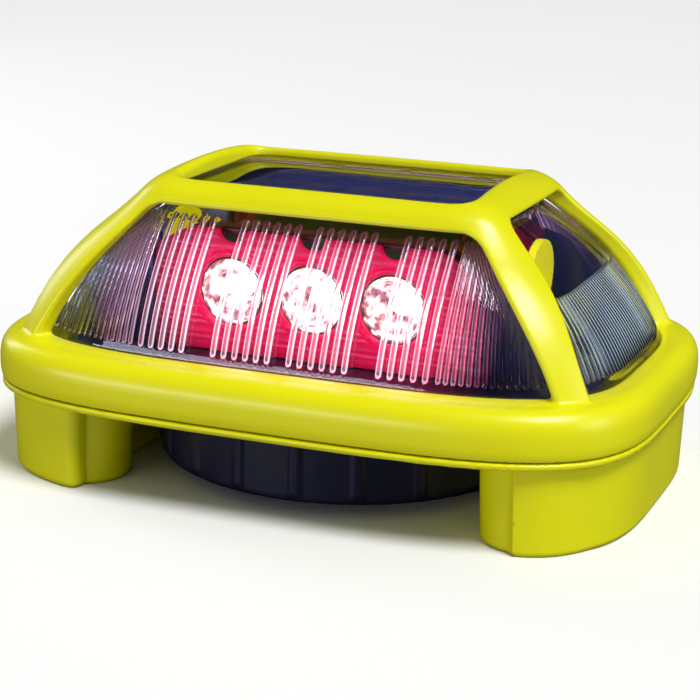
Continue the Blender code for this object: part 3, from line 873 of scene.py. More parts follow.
@dataclass(frozen=True)
class LensForm:
    """The sloping outline that the lens has and the guard's bars run along."""

    ledge_z: float = 33.2
    shoulder_z: float = 65.2
    top_z: float = 68.2
    foot: Pair = (71.5, 45.35)
    shoulder: Pair = (41.2, 24.2)
    bow: Pair = (4.0, 3.1)
    slope: Pair = (1.38, 1.2)
    power: float = 3.85
    squarer: float = 3.5
    turn_z: float = 60.0
    steepen: tuple[Pair, Pair] = ((1.284, 0.0195), (0.9225, 0.0268))

    def section(self, z: Values, proud: float = 0.0) -> tuple[Values, Values, Values]:
        """Outline at a height.

        Args:
            z: Height, one number or an array.
            proud: Distance that the outline is moved outwards, across the slope.

        Returns:
            Half length, half width and power of the bowed rectangle there.
        """
        t = np.clip((z - self.ledge_z) / (self.shoulder_z - self.ledge_z), 0.0, 1.1)
        half = []
        for axis in (0, 1):
            straight = self.foot[axis] + (self.shoulder[axis] - self.foot[axis]) * t
            half.append(straight + self.bow[axis] * 4 * t * (1 - t) + proud * self.slope[axis])
        return half[0], half[1], self.power + self.squarer * t**2

    def guard_section(self, z: Values, proud: float) -> tuple[Values, Values, Values]:
        """Outline of the guard's outside, which leaves the lens's slope near the top and stands steeper.

        Args:
            z: Height, one number or an array.
            proud: Distance that the guard stands off the lens.

        Returns:
            Half length, half width and power of the bowed rectangle there.
        """
        *half, _ = self.section(np.minimum(z, self.turn_z), proud)
        over = np.clip(z - self.turn_z, 0.0, 14.0)
        half_x, half_y = (h - fall * over + ease * over**2 for h, (fall, ease) in zip(half, self.steepen))
        t = np.clip((z - self.ledge_z) / (self.shoulder_z - self.ledge_z), 0.0, 1.15)
        return half_x, half_y, self.power + self.squarer * t**2


# Guard and base -----------------------------------------------------------------------

SCREW_AT = (61.6, 40.8)


@dataclass
class GuardCage(Assembly):
    """Yellow skirt, ledge, corner bars and top frame, moulded in one."""

    form: LensForm
    half: Pair = (80.0, 56.3)
    power: float = 3.9
    low_z: float = 22.3
    widest_z: float = 26.2
    shoulder: float = 5.6
    wall: float = 2.7
    roof: float = 3.0
    proud: float = 4.0
    crest_z: float = 70.8
    arch: Pair = (1.9, 0.2)
    opening: Pair = (36.2, 23.2)
    front: tuple[Point, Point] = ((60.5, 33.2, 36.6), (39.2, 65.1, 26.0))
    end: tuple[Point, Point] = ((33.0, 33.2, 66.8), (20.0, 67.2, 43.0))
    flare: Pair = (0.5, 1.3)
    edge: float = 1.3
    skirt_scale: float = 6.0
    skirt_power: float = 2.7
    tuck: float = 0.6
    lean: float = 1.3
    roof_half: Pair = (43.0, 25.0)
    roof_round: float = 3.6
    opening_power: float = 14.0
    opening_round: float = 2.0
    cage_low_z: float = 31.9
    tower_radius: float = 3.0
    tower_z: Pair = (23.3, 31.0)
    hole_radius: float = 1.75
    hole_top_z: float = 29.2

    def skirt(self, x: np.ndarray, y: np.ndarray, z: np.ndarray) -> np.ndarray:
        """Field of the skirt and ledge, hollow below.

        Args:
            x: X of the points.
            y: Y of the points.
            z: Height of the points.

        Returns:
            Signed distance, negative inside.
        """
        depth = -bowed_distance(x, y, *self.half, self.power)
        ledge_z = self.form.ledge_z
        side = np.maximum(self.shoulder - depth, 0) / self.shoulder
        rise = np.maximum(z - self.widest_z, 0) / (ledge_z - self.widest_z)
        tuck = self.tuck * (np.maximum(self.widest_z - z, 0) / (self.widest_z - self.low_z)) ** 3
        power = self.skirt_power
        body = self.skirt_scale * ((side**power + rise**power) ** (1 / power) - 1) + tuck
        body = outer_round(body, self.low_z - z, 0.45)
        cavity = outer_round(self.wall - depth, z - (ledge_z - self.roof), 1.0)
        body = outer_round(body, -cavity, 0.3)
        hole = bowed_distance(x, y, self.form.foot[0] + 0.4, self.form.foot[1] + 0.4, self.form.power)
        return outer_round(body, -hole, 0.4)

    def window(self, across: np.ndarray, out: np.ndarray, z: np.ndarray, shape: tuple[Point, Point],
               flare: float, bow: float, radius: float) -> np.ndarray:
        """Field of the cutter for one pair of windows.

        Args:
            across: Distance from the middle of the window.
            out: Distance out from the middle of the light.
            z: Height.
            shape: Foot and top of the window as half width, height and distance out.
            flare: How fast the side walls open outwards.
            bow: How far the sides bulge.
            radius: Radius of the corners.

        Returns:
            Signed distance, negative in the window.
        """
        (foot, low, foot_out), (top, high, top_out) = shape
        t = np.clip((z - low) / (high - low), 0, 1)
        middle = foot_out + (top_out - foot_out) * t
        opened = flare * (1 - 0.85 * t) * (out - middle)
        half = np.maximum(foot + (top - foot) * t + bow * 4 * t * (1 - t) + opened, 1.0)
        lean = math.hypot(1.0, (foot - top) / (high - low))
        cut = outer_round((across - half) / lean, (z - high) * 0.85, radius)
        cut = outer_round(cut, low - z, 1.2)
        return np.maximum(cut, 15.0 - out)

    def cage(self, x: np.ndarray, y: np.ndarray, z: np.ndarray) -> np.ndarray:
        """Field of the bars and the top frame.

        Args:
            x: X of the points.
            y: Y of the points.
            z: Height of the points.

        Returns:
            Signed distance, negative inside.
        """
        half_x, half_y, power = self.form.guard_section(z, self.proud)
        slope = bowed_distance(x, y, half_x, half_y, power) / self.lean
        u = np.clip(np.abs(x) / self.roof_half[0], 0, 1)
        v = np.clip(np.abs(y) / self.roof_half[1], 0, 1)
        roof = z - self.crest_z - self.arch[0] * (1 - v * v) - self.arch[1] * (1 - u * u)
        body = outer_round(slope, roof, self.roof_round)
        opening = bowed_distance(x, y, *self.opening, self.opening_power)
        body = outer_round(body, -opening, self.opening_round)
        lens = self.form.section(np.minimum(z, self.form.shoulder_z), 0.45)
        under = outer_round(bowed_distance(x, y, *lens) / self.lean, z - self.form.top_z - 0.4, 0.8)
        body = outer_round(body, -under, 0.4)
        front = self.window(np.abs(x), np.abs(y), z, self.front, self.flare[0], 1.4, 2.4)
        end = self.window(np.abs(y), np.abs(x), z, self.end, self.flare[1], 0.0, 1.8)
        body = outer_round(body, -front, self.edge)
        body = outer_round(body, -end, self.edge)
        return np.maximum(body, self.cage_low_z - z)

    def shape(self, x: np.ndarray, y: np.ndarray, z: np.ndarray) -> np.ndarray:
        """Field of the whole guard.

        Args:
            x: X of the points.
            y: Y of the points.
            z: Height of the points.

        Returns:
            Signed distance, negative inside.
        """
        body = inner_round(self.skirt(x, y, z), self.cage(x, y, z), 0.9)
        at_x, at_y = np.abs(x), np.abs(y)
        tower = column_distance(at_x, at_y, SCREW_AT, self.tower_radius)
        body = np.minimum(body, outer_round(tower, np.maximum(self.tower_z[0] - z, z - self.tower_z[1]), 0.4))
        hole = np.maximum(column_distance(at_x, at_y, SCREW_AT, self.hole_radius), z - self.hole_top_z)
        return outer_round(body, -hole, 0.3)

    def build(self) -> None:
        """Builds the guard and puts it in place."""
        cell = 0.62
        solid = FieldSolid((-81.5, -57.8, 20.9), (81.5, 57.8, 74.6), cell)
        piece = solid.mesh("guard_moulding", self.shape)
        self.add(piece, self.finishes.yellow, "root", "yellow_guard_plastic", "guard_cage")


@dataclass
class BaseTray(Assembly):
    """Yellow floor, legs, seal wall and threaded neck, moulded in one."""

    form: LensForm
    rim: Pair = (79.5, 56.1)
    locate: Pair = (76.9, 53.2)
    power: float = 3.9
    rim_z: float = 20.4
    parting_z: float = 22.0
    leg: Pair = (77.3, 52.4)
    leg_wall_x: float = 48.4
    plain_corner: Pair = (57.3, 35.5)
    plain_radius: float = 11.3
    boss: Pair = (53.4, 36.0)
    boss_radius: float = 10.8
    skin: float = 2.35
    neck_radius: float = 42.0
    bore_radius: float = 38.5
    neck_low_z: float = 8.8
    thread_low_z: float = 10.6
    thread_pitch: float = 4.5
    thread_turns: float = 1.6
    seal_wall: float = 3.4
    seal_top_z: float = 25.0
    floor_top_z: float = 21.0
    draft: float = 0.7
    draft_low_z: float = 1.3
    tower_radius: float = 3.6
    tower_z: Pair = (9.5, 21.2)
    head_radius: float = 2.75
    head_top_z: float = 11.0
    hole_radius: float = 1.75
    button_at: Pair = (36.6, 37.4)
    button_radius: float = 2.4

    def leg_plan(self, x: np.ndarray, y: np.ndarray) -> np.ndarray:
        """Distance in plan to the legs, which match each other turned half round.

        Args:
            x: X of the points.
            y: Y of the points.

        Returns:
            Signed distance, negative inside.
        """
        side = np.where(x < 0, -1.0, 1.0)
        x, y = x * side, y * side
        body = outer_round(bowed_distance(x, y, *self.leg, self.power), self.leg_wall_x - x, 3.1)
        corner_x, corner_y = self.plain_corner
        cut = np.maximum(x - corner_x, y + corner_y)
        body = np.maximum(body, -cut)
        body = inner_round(body, column_distance(x, y, (corner_x, -corner_y), self.plain_radius), 3.0)
        return np.minimum(body, column_distance(x, y, self.boss, self.boss_radius))

    def thread(self, x: np.ndarray, y: np.ndarray, z: np.ndarray) -> np.ndarray:
        """Field of the helical ridge round the neck.

        Args:
            x: X of the points.
            y: Y of the points.
            z: Height of the points.

        Returns:
            Signed distance, negative inside.
        """
        radius = np.hypot(x, y)
        turn = np.mod(np.arctan2(y, x) / (2 * math.pi), 1.0)
        nearest = np.full(np.broadcast_shapes(x.shape, y.shape, z.shape), 9.0)
        for lap in (0, 1):
            along = turn + lap
            left = np.minimum(along, self.thread_turns - along) * 360
            crest = self.neck_radius - 0.1 + 0.9 * np.clip(left / 50, 0, 1)
            aside = np.abs(z - self.thread_low_z - self.thread_pitch * along)
            ridge = np.maximum(radius - crest, (aside - 0.75 + 0.45 * (radius - self.neck_radius)) * 0.9)
            nearest = np.minimum(nearest, np.where(left > 0, ridge, 9.0))
        return nearest

    def shape(self, x: np.ndarray, y: np.ndarray, z: np.ndarray) -> np.ndarray:
        """Field of the whole base.

        Args:
            x: X of the points.
            y: Y of the points.
            z: Height of the points.

        Returns:
            Signed distance, negative inside.
        """
        rim = outer_round(bowed_distance(x, y, *self.rim, self.power), z - self.parting_z, 0.5)
        rim = outer_round(rim, self.rim_z - z, 0.6)
        step = outer_round(bowed_distance(x, y, *self.locate, self.power), z - self.parting_z - 1.0, 0.4)
        step = np.maximum(step, self.rim_z - z)
        foot_x, foot_y = self.form.foot
        outside, inside = (bowed_distance(x, y, foot_x + more, foot_y + more, self.form.power)
                           for more in (0.4, -self.seal_wall))
        wall = outer_round(np.maximum(outside, -inside), z - self.seal_top_z, 0.4)
        wall = np.maximum(wall, self.floor_top_z - z)
        body = np.minimum(np.minimum(rim, step), wall)
        draft = self.draft * (z - self.draft_low_z) / 19.3
        plan = self.leg_plan(x, y)
        legs = np.maximum(outer_round(plan - draft, -z, 1.3), z - self.rim_z - 0.6)
        body = inner_round(body, legs, 0.8)
        radius = np.hypot(x, y)
        neck = outer_round(radius - self.neck_radius, self.neck_low_z - z, 0.5)
        neck = np.maximum(neck, z - self.rim_z - 0.6)
        body = inner_round(body, neck, 0.8)
        body = np.minimum(body, np.maximum(self.thread(x, y, z), z - self.rim_z))
        hollow = outer_round(plan + self.skin, z - self.rim_z, 1.2)
        body = outer_round(body, -hollow, 0.5)
        bore = radius - self.bore_radius
        body = outer_round(body, -bore, 0.4)
        at_x, at_y = np.abs(x), np.abs(y)
        screw = column_distance(at_x, at_y, SCREW_AT, 0.0)
        tower = np.maximum(screw - self.tower_radius, np.maximum(self.tower_z[0] - z, z - self.tower_z[1]))
        body = np.minimum(body, tower)
        head = np.maximum(screw - self.head_radius, z - self.head_top_z)
        body = outer_round(body, -np.minimum(head, screw - self.hole_radius), 0.25)
        return outer_round(body, -column_distance(x, y, self.button_at, self.button_radius), 0.3)

    def build(self) -> None:
        """Builds the base and puts it in place."""
        cell = 0.8
        solid = FieldSolid((-81.1, -57.7, -1.4), (81.1, 57.7, 26.6), cell)
        piece = solid.mesh("base_moulding", self.shape)
        self.add(piece, self.finishes.yellow, "root", "yellow_guard_plastic", "base_tray")


# Lens ---------------------------------------------------------------------------------


@dataclass
class RibbedLens(Assembly):
    """Clear dome with half-round ribs up its faces and a clamping flange at its foot, with painted light on
    the ribs.
    """

    form: LensForm
    flange: float = 2.1
    flange_z: Pair = (27.4, 29.9)
    wall: float = 2.0
    top_wall: float = 1.0
    pitch: float = 2.65
    coarse_width: float = 1.45
    coarse_rise: float = 0.42
    fine_pitch: float = 1.72
    fine_width: float = 1.15
    fine_rise: float = 0.26
    ribs_low_z: float = 35.6
    ribs_high_z: float = 62.3
    end_high_z: float = 51.0
    straight_x: float = 36.4
    fan: float = 0.35
    end_ribs: int = 22
    # Lamps that the painted rib light fades from, and the reach, strengths and colours of that painted light.
    lamp_x: tuple[float, ...] = (0.0, 20.0)
    lamp_z: float = 46.0
    reach: float = 24.0
    painted_glow: float = 2.3
    end_painted_glow: float = 0.85
    near_light: Colour = (1.0, 0.80, 0.90)
    far_light: Colour = (0.85, 0.22, 0.55)
    end_light: Colour = (0.70, 0.93, 1.0)
    light: np.ndarray = field(default_factory=lambda: np.zeros((0, 3)))

    def coarse_middles(self) -> np.ndarray:
        """X of the middle of each coarse rib, on the right half of a long face.

        Returns:
            The places, from the middle outwards.
        """
        inner = [1.3 + self.pitch * (i + 0.5) for i in range(6)]
        outer = [22.5 + self.pitch * (i + 0.5) for i in range(5)]
        return np.array(inner + outer)

    def rib(self, aside: np.ndarray, z: np.ndarray, width: float, rise: float, high_z: float) -> np.ndarray:
        """Height of one half-round rib with rounded ends.

        Args:
            aside: Distance from its middle line.
            z: Height.
            width: Width of the rib.
            rise: Height of its crown.
            high_z: Top of the rib.

        Returns:
            Height above the face, 0 beside the rib.
        """
        low = self.ribs_low_z
        beyond = np.maximum(np.maximum(low - z, z - high_z), 0.0)
        reach = np.hypot(aside, beyond) / (width / 2)
        return rise * np.sqrt(np.clip(1 - reach**2, 0, 1))

    def long_face_relief(self, x: np.ndarray, z: np.ndarray) -> np.ndarray:
        """Relief on the front and back faces: coarse ribs in the middle, fine ones outside.

        Args:
            x: X of the points.
            z: Height of the points.

        Returns:
            Height above the plain face.
        """
        x = np.abs(x)
        t = np.clip((z - self.form.ledge_z) / 32.0, 0, 1)
        beyond = x - self.straight_x
        foot_x = np.where(beyond > 0, self.straight_x + beyond / (1 - self.fan * t), x)
        relief = np.zeros_like(x)
        for middle in self.coarse_middles():
            coarse = self.rib(x - middle, z, self.coarse_width, self.coarse_rise, self.ribs_high_z)
            relief = np.maximum(relief, coarse)
        start = self.straight_x + 0.9
        order = np.round((foot_x - start) / self.fine_pitch)
        aside = foot_x - start - np.clip(order, 0, 20) * self.fine_pitch
        fine = self.rib(aside, z, self.fine_width, self.fine_rise, self.ribs_high_z)
        return np.maximum(relief, np.where(foot_x > self.straight_x, fine, 0.0))

    def end_face_relief(self, share: np.ndarray, z: np.ndarray) -> np.ndarray:
        """Relief on the end faces: fine ribs on the lower half, spaced by their share of the face.

        Args:
            share: Place across the face, as a share of its half width.
            z: Height of the points.

        Returns:
            Height above the plain face.
        """
        order = share * self.end_ribs
        aside = (order - np.round(order)) * self.fine_pitch
        return self.rib(aside, z, self.fine_width, self.fine_rise, self.end_high_z)

    @staticmethod
    def flank(relief: np.ndarray, rise: Values) -> np.ndarray:
        """1 on the two flanks of a rib, a little on its crown, and 0 beside it.

        Args:
            relief: Height of the ribs at the points.
            rise: Height of their crowns.

        Returns:
            Share of the painted light at each point.
        """
        share = relief / rise
        return np.clip(1 - np.abs(share - 0.55) / 0.36, 0, 1) + 0.12 * (share > 0.5)

    def long_face_painted_light(self, x: np.ndarray, z: np.ndarray, relief: np.ndarray) -> np.ndarray:
        """Painted lamp light on the ribs of a long face, from white near a lamp to magenta.

        Args:
            x: X of the points.
            z: Height of the points.
            relief: Height of the ribs there.

        Returns:
            Colour at each point.
        """
        flank = self.flank(relief, np.where(x < self.straight_x, self.coarse_rise, self.fine_rise))
        nearest = np.min([np.hypot(x - at, z - self.lamp_z) for at in self.lamp_x], axis=0) / self.reach
        fade = np.clip(1 - 0.72 * nearest**1.5, 0.01, 1.0)
        fade = fade * np.clip((63.0 - z) / 6.0, 0.12, 1.0)
        share = np.clip(fade, 0, 1)[:, None]
        colour = np.array(self.near_light) * share + np.array(self.far_light) * (1 - share)
        return (flank * fade * self.painted_glow)[:, None] * colour

    def end_face_painted_highlight(self, share: np.ndarray, z: np.ndarray, relief: np.ndarray) -> np.ndarray:
        """Painted highlights on the crowns of the fine ribs of an end face, brighter towards its middle and
        dimmer at its foot.

        Args:
            share: Place across the face, as a share of its half width.
            z: Height of the points.
            relief: Height of the ribs there.

        Returns:
            Colour at each point.
        """
        crown = np.clip(relief / self.fine_rise - 0.9, 0, 0.1) * 10
        level = self.end_painted_glow * crown * (1 - 0.5 * share) * np.clip((z - 34.0) / 5.0, 0.3, 1.0)
        return level[:, None] * np.array(self.end_light)

    def columns(self) -> list[tuple[str, float]]:
        """Places round a quarter of the outline, from the end face's middle to the long face's.

        Returns:
            Kind of place with its share of the end or corner, or its X on the straight.
        """
        end_steps, corner_steps = 6 * self.end_ribs, 120
        places = [("end", i / end_steps) for i in range(end_steps)]
        places += [("corner", 1 - i / corner_steps) for i in range(corner_steps)]
        marks = {self.straight_x}
        for middle in self.coarse_middles():
            for share in (-1.0, -0.92, -0.7, -0.36, 0.0, 0.36, 0.7, 0.92, 1.0):
                marks.add(round(middle + share * self.coarse_width / 2, 4))
        marks |= {0.4, 0.9, 17.9, 19.2, 20.5, 21.8}
        return places + [("straight", x) for x in sorted(marks, reverse=True)]

    def ring(self, z: float, half_x: float, half_y: float, power: float, ribbed: bool) -> np.ndarray:
        """Points of one level round the whole outline.

        Args:
            z: Height of the level.
            half_x: Half length of the outline there.
            half_y: Half width.
            power: Squareness.
            ribbed: True to raise the ribs.

        Returns:
            Points in order round the outline.
        """
        corner = 2 ** (-1 / power)
        straight = min(self.straight_x, half_x * corner * 0.97)
        quarter = []
        columns = self.columns()
        for kind, value in columns:
            if kind == "end":
                y = half_y * corner * value
                quarter.append((half_x * (1 - (y / half_y) ** power) ** (1 / power), y))
                continue
            if kind == "corner":
                x = straight + (half_x * corner - straight) * value
            else:
                x = value * straight / self.straight_x
            quarter.append((x, half_y * (1 - (x / half_x) ** power) ** (1 / power)))
        x, y = np.array(quarter).T
        height = np.full_like(x, z)
        if ribbed:
            on_end = np.array([kind == "end" for kind, _ in columns])
            share = np.array([value for _, value in columns])
            long_face = self.long_face_relief(x, height)
            end_face = self.end_face_relief(share, height)
            x = x + np.where(on_end, end_face, 0) * 0.75
            y = y + np.where(on_end, 0, long_face) * 0.85
            height = height + np.where(on_end, end_face, long_face) * 0.55
            lit = self.long_face_painted_light(x, height, long_face)
            self.light = np.where(on_end[:, None], self.end_face_painted_highlight(share, height, end_face), lit)
        else:
            self.light = np.zeros((len(x), 3))
        right_back = np.stack([x, y, height], 1)
        left_back = right_back[::-1] * (-1, 1, 1)
        loop = np.concatenate([right_back, left_back])
        front = loop[::-1] * (1, -1, 1)
        light = np.concatenate([self.light, self.light[::-1]])
        self.light = np.concatenate([light, light[::-1][1:-1]])
        return np.concatenate([loop, front[1:-1]])

    def levels(self) -> list[Level]:
        """Levels of the outside, from the flange up: height, half sizes, power, ribbed.

        Returns:
            The levels in order.
        """
        foot_x, foot_y = self.form.foot
        low, high = self.flange_z
        power = self.form.power
        made = [(low, foot_x + self.flange, foot_y + self.flange, power, False),
                (high - 0.3, foot_x + self.flange, foot_y + self.flange, power, False),
                (high, foot_x + self.flange - 0.3, foot_y + self.flange - 0.3, power, False),
                (high, foot_x + 0.4, foot_y + 0.4, power, False),
                (high + 0.4, foot_x, foot_y, power, False)]
        heights = [self.form.ledge_z, 64.2, *np.linspace(37.0, 50.0, 11), *np.linspace(53.0, 61.5, 8)]
        heights += [self.ribs_low_z - w for w in (0.95, 0.72, 0.62, 0.5, 0.3, 0.0)]
        heights += [self.end_high_z + w for w in (0.0, 0.35, 0.55, 0.7)]
        heights += [self.ribs_high_z + w for w in (0.0, 0.35, 0.6, 0.72, 1.0)]
        for z in sorted(heights):
            made.append((z, *self.form.section(z), True))
        top_x, top_y, top_power = self.form.section(self.form.shoulder_z)
        drop = self.form.top_z - self.form.shoulder_z
        for i in range(6):
            angle = math.radians(90 * i / 5)
            inward = 2.2 * (1 - math.cos(angle))
            z = self.form.shoulder_z + drop * math.sin(angle)
            made.append((z, top_x - inward, top_y - inward, top_power, False))
        return made

    def inner_levels(self) -> list[Level]:
        """Levels of the inside, from the top down.

        Returns:
            The levels in order.
        """
        top_x, top_y, top_power = self.form.section(self.form.shoulder_z)
        made = [(self.form.top_z - self.top_wall, top_x - 4.4, top_y - 4.0, top_power, False),
                (self.form.top_z - self.top_wall - 0.5, top_x - 3.3, top_y - 2.9, top_power, False)]
        for z in np.linspace(62.6, self.form.ledge_z, 12):
            made.append((z, *self.form.section(z, -self.wall), False))
        foot_x, foot_y = self.form.foot
        made.append((self.flange_z[0], foot_x - self.wall, foot_y - self.wall, self.form.power, False))
        return made

    def build(self) -> None:
        """Builds the lens and puts it in place."""
        rows, points, faces, light = [], [], [], []
        for z, half_x, half_y, power, ribbed in self.levels() + self.inner_levels():
            ring = self.ring(z, half_x, half_y, power, ribbed)
            light.extend(np.c_[self.light, np.ones(len(ring))].ravel().tolist())
            rows.append(range(len(points), len(points) + len(ring)))
            points.extend(ring.tolist())
        top = len(self.levels()) - 1
        for number, (low, high) in enumerate(zip(rows, rows[1:] + rows[:1])):
            if number == top:
                continue
            faces += self.band(low, high)
        self.close(rows[top], points, faces, self.form.top_z, 1)
        self.close(rows[top + 1], points, faces, self.form.top_z - self.top_wall, -1)
        piece = solid_object("lens_dome", points, faces)
        piece.data.set_sharp_from_angle(angle=math.radians(60))
        # Painted light of the ribs, stored on each point.
        painted_glow = piece.data.attributes.new(PAINTED_RIB_LIGHT, "FLOAT_COLOR", "POINT")
        painted_glow.data.foreach_set("color", light + [0.0, 0.0, 0.0, 1.0] * (len(points) - len(light) // 4))
        self.add(piece, self.finishes.clear, "root", "clear_lens", "lens")

    @staticmethod
    def band(low: range | list[int], high: range | list[int]) -> list[tuple[int, ...]]:
        """Faces between two rings of point numbers, in the order of the rings."""
        count = len(low)
        return [(low[i], low[(i + 1) % count], high[(i + 1) % count], high[i]) for i in range(count)]

    @staticmethod
    def close(row: range, points: list, faces: list, z: float, way: int) -> None:
        """Fills the flat top inside a ring with rings that shrink to a middle line.

        Args:
            row: Point numbers of the ring.
            points: All points, added to.
            faces: All faces, added to.
            z: Height of the flat top.
            way: 1 to face up, -1 to face down.
        """
        count = len(row)
        last = list(row)
        for share in (0.6, 0.25):
            ring = []
            for index in row:
                x, y, _ = points[index]
                ring.append(len(points))
                points.append([x * share, y * share, z])
            faces += [face[::way] for face in RibbedLens.band(last, ring)]
            last = ring
        centre = len(points)
        points.append([0.0, 0.0, z])
        faces += [(last[i], last[(i + 1) % count], centre)[::way] for i in range(count)]


# Lamps --------------------------------------------------------------------------------


@dataclass
class LampSide(Assembly):
    """Red reflector housing with its three lamps, on one long side."""

    side: Side
    lamp_x: tuple[float, ...] = (-20.0, 0.0, 20.0)
    lamp_z: float = 45.0
    face_y: float = 25.4
    back_y: float = 17.3
    foot_z: float = 30.4
    top_z: float = 59.3
    half_width: float = 40.0
    wall: float = 1.4
    window_radius: float = 8.2
    window_depth: float = 3.0
    notch_radius: float = 3.4
    collar_gap: float = 0.7
    collar_half: float = 0.75
    collar_rise: float = 0.7
    flute_pitch: float = 1.7
    flute_depth: float = 0.11
    seat_y: float = 19.3
    facets: int = 14

    def housing(self, x: np.ndarray, y: np.ndarray, z: np.ndarray) -> np.ndarray:
        """Field of the housing: a tray with round windows, collars, notches and faint flutes.

        Args:
            x: X of the points.
            y: Y of the points.
            z: Height of the points.

        Returns:
            Signed distance, negative inside.
        """
        out = -y * self.turn
        across = np.abs(x)
        corner = ((across - self.half_width) * 4.8 + (z - 54.5) * 9.0) / 10.2
        plan = outer_round(outer_round(across - self.half_width, z - self.top_z, 1.0), corner, 1.0)
        plan = np.maximum(plan, self.foot_z - z)
        wave = 1 + np.cos(2 * math.pi * z / self.flute_pitch)
        flute = self.flute_depth * wave * np.clip(out - self.face_y + 0.6, 0, 1)
        body = outer_round(plan, np.maximum(out - self.face_y + flute, self.back_y - out), 0.8)
        middle = np.abs(across - self.lamp_x[2] * (across > 0.5 * self.lamp_x[2]))
        radius = np.hypot(middle, z - self.lamp_z)
        collar = np.abs(radius - self.window_radius - self.collar_gap) - self.collar_half
        collar = outer_round(collar, out - self.face_y - self.collar_rise, 0.5)
        collar = np.maximum(collar, self.face_y - 1.0 - out)
        body = inner_round(body, collar, 0.5)
        hollow = outer_round(plan + self.wall, out - self.face_y + self.wall, 0.6)
        body = outer_round(body, -hollow, 0.2)
        behind = self.face_y - self.window_depth - out
        window = np.maximum(radius - self.window_radius, behind)
        body = outer_round(body, -window, 0.35)
        notch = np.hypot(middle, z - self.top_z - 0.4) - self.notch_radius
        return outer_round(body, -np.maximum(notch, behind), 0.3)

    @property
    def turn(self) -> float:
        """1 when the lamps face -Y, and -1 when they face +Y."""
        return -float(self.side.value)

    @property
    def label(self) -> str:
        """Word for the side in the names of pieces."""
        return self.side.name.lower()

    def cup_facets(self, angle: float, radius: float, height: float) -> float:
        """Flattens the cup's wall between its facet edges, and staggers the rows.

        Args:
            angle: Angle round the cup.
            radius: Radius there.
            height: Height above its foot.

        Returns:
            Change of the radius.
        """
        row = math.floor(height / 1.5)
        phase = (angle / (2 * math.pi) * self.facets + 0.5 * (row % 2)) % 1.0
        return -0.05 * radius * (1 - abs(2 * phase - 1))

    def build(self) -> None:
        """Builds the housing, cups, covers and lit domes of this side."""
        low_y, high_y = sorted((-self.turn * (self.back_y - 1.5), -self.turn * (self.face_y + 1.5)))
        cell = 0.5
        solid = FieldSolid((-41.3, low_y, 29.1), (41.3, high_y, 60.6), cell)
        housing = solid.mesh(f"lamp_housing_{self.label}", self.housing)
        self.add(housing, self.finishes.red, "root", "red_reflector", f"reflector_housing_{self.label}")
        for number, x in enumerate(self.lamp_x, 1):
            self.build_lamp(number, x * self.turn)
        dress(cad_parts[f"led_board_{self.label}"], self.finishes.board)

    def build_lamp(self, number: int, x: float) -> None:
        """Builds one lamp: its faceted cup, clear cover and lit dome.

        Args:
            number: Number of the lamp.
            x: X of its axis.
        """
        axis = "-Y" if self.turn > 0 else "Y"
        seat_y = -self.turn * self.seat_y
        inner = [(2.7, 0.25), (3.7, 0.8), (4.7, 1.55), (5.5, 2.4), (6.2, 3.4), (6.8, 4.5), (7.2, 5.4)]
        outer = [(7.6, 5.4), (7.4, 4.4), (6.8, 3.0), (5.9, 1.6), (4.7, 0.6), (3.4, 0.0)]
        profile = [(2.7, 0.0)] + inner + outer + [(2.7, 0.0)]
        at = (x, seat_y, self.lamp_z)
        cup = lathe(f"reflector_cup_{self.label}_{number}", profile, 8 * self.facets, at, axis,
                    self.cup_facets, 12.0)
        self.add(cup, self.finishes.cup, "root", "led_package")
        rings = [(0.0, 5.65), (7.7, 5.65), (7.75, 5.9), (7.6, 6.25), (7.0, 6.5)]
        steps = 14
        for i in range(steps + 1):
            radius = 6.8 * (1 - i / steps)
            rings.append((radius, 6.5 + 1.05 * (1 - (radius / 6.8) ** 2) + 0.07 * math.cos(radius * 6.0)))
        rings[-1] = (0.0, rings[-1][1])
        cover = lathe(f"lamp_cover_{self.label}_{number}", rings, 64, at, axis)
        self.add(cover, self.finishes.optic, "root", "clear_lens", f"led_optic_{self.label}_{number}")
        dome = [(0.0, -0.1), (2.35, -0.1), (2.35, 0.25)]
        arc = [math.radians(a) for a in range(0, 90, 15)]
        dome += [(2.2 * math.cos(a), 0.3 + 2.0 * math.sin(a)) for a in arc]
        dome.append((0.0, 2.3))
        lit = lathe(f"lit_dome_{self.label}_{number}", dome, 32, at, axis)
        self.add(lit, self.finishes.led, "root", "led_package")
        dress(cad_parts[f"led_{self.label}_{number}"], self.finishes.led)


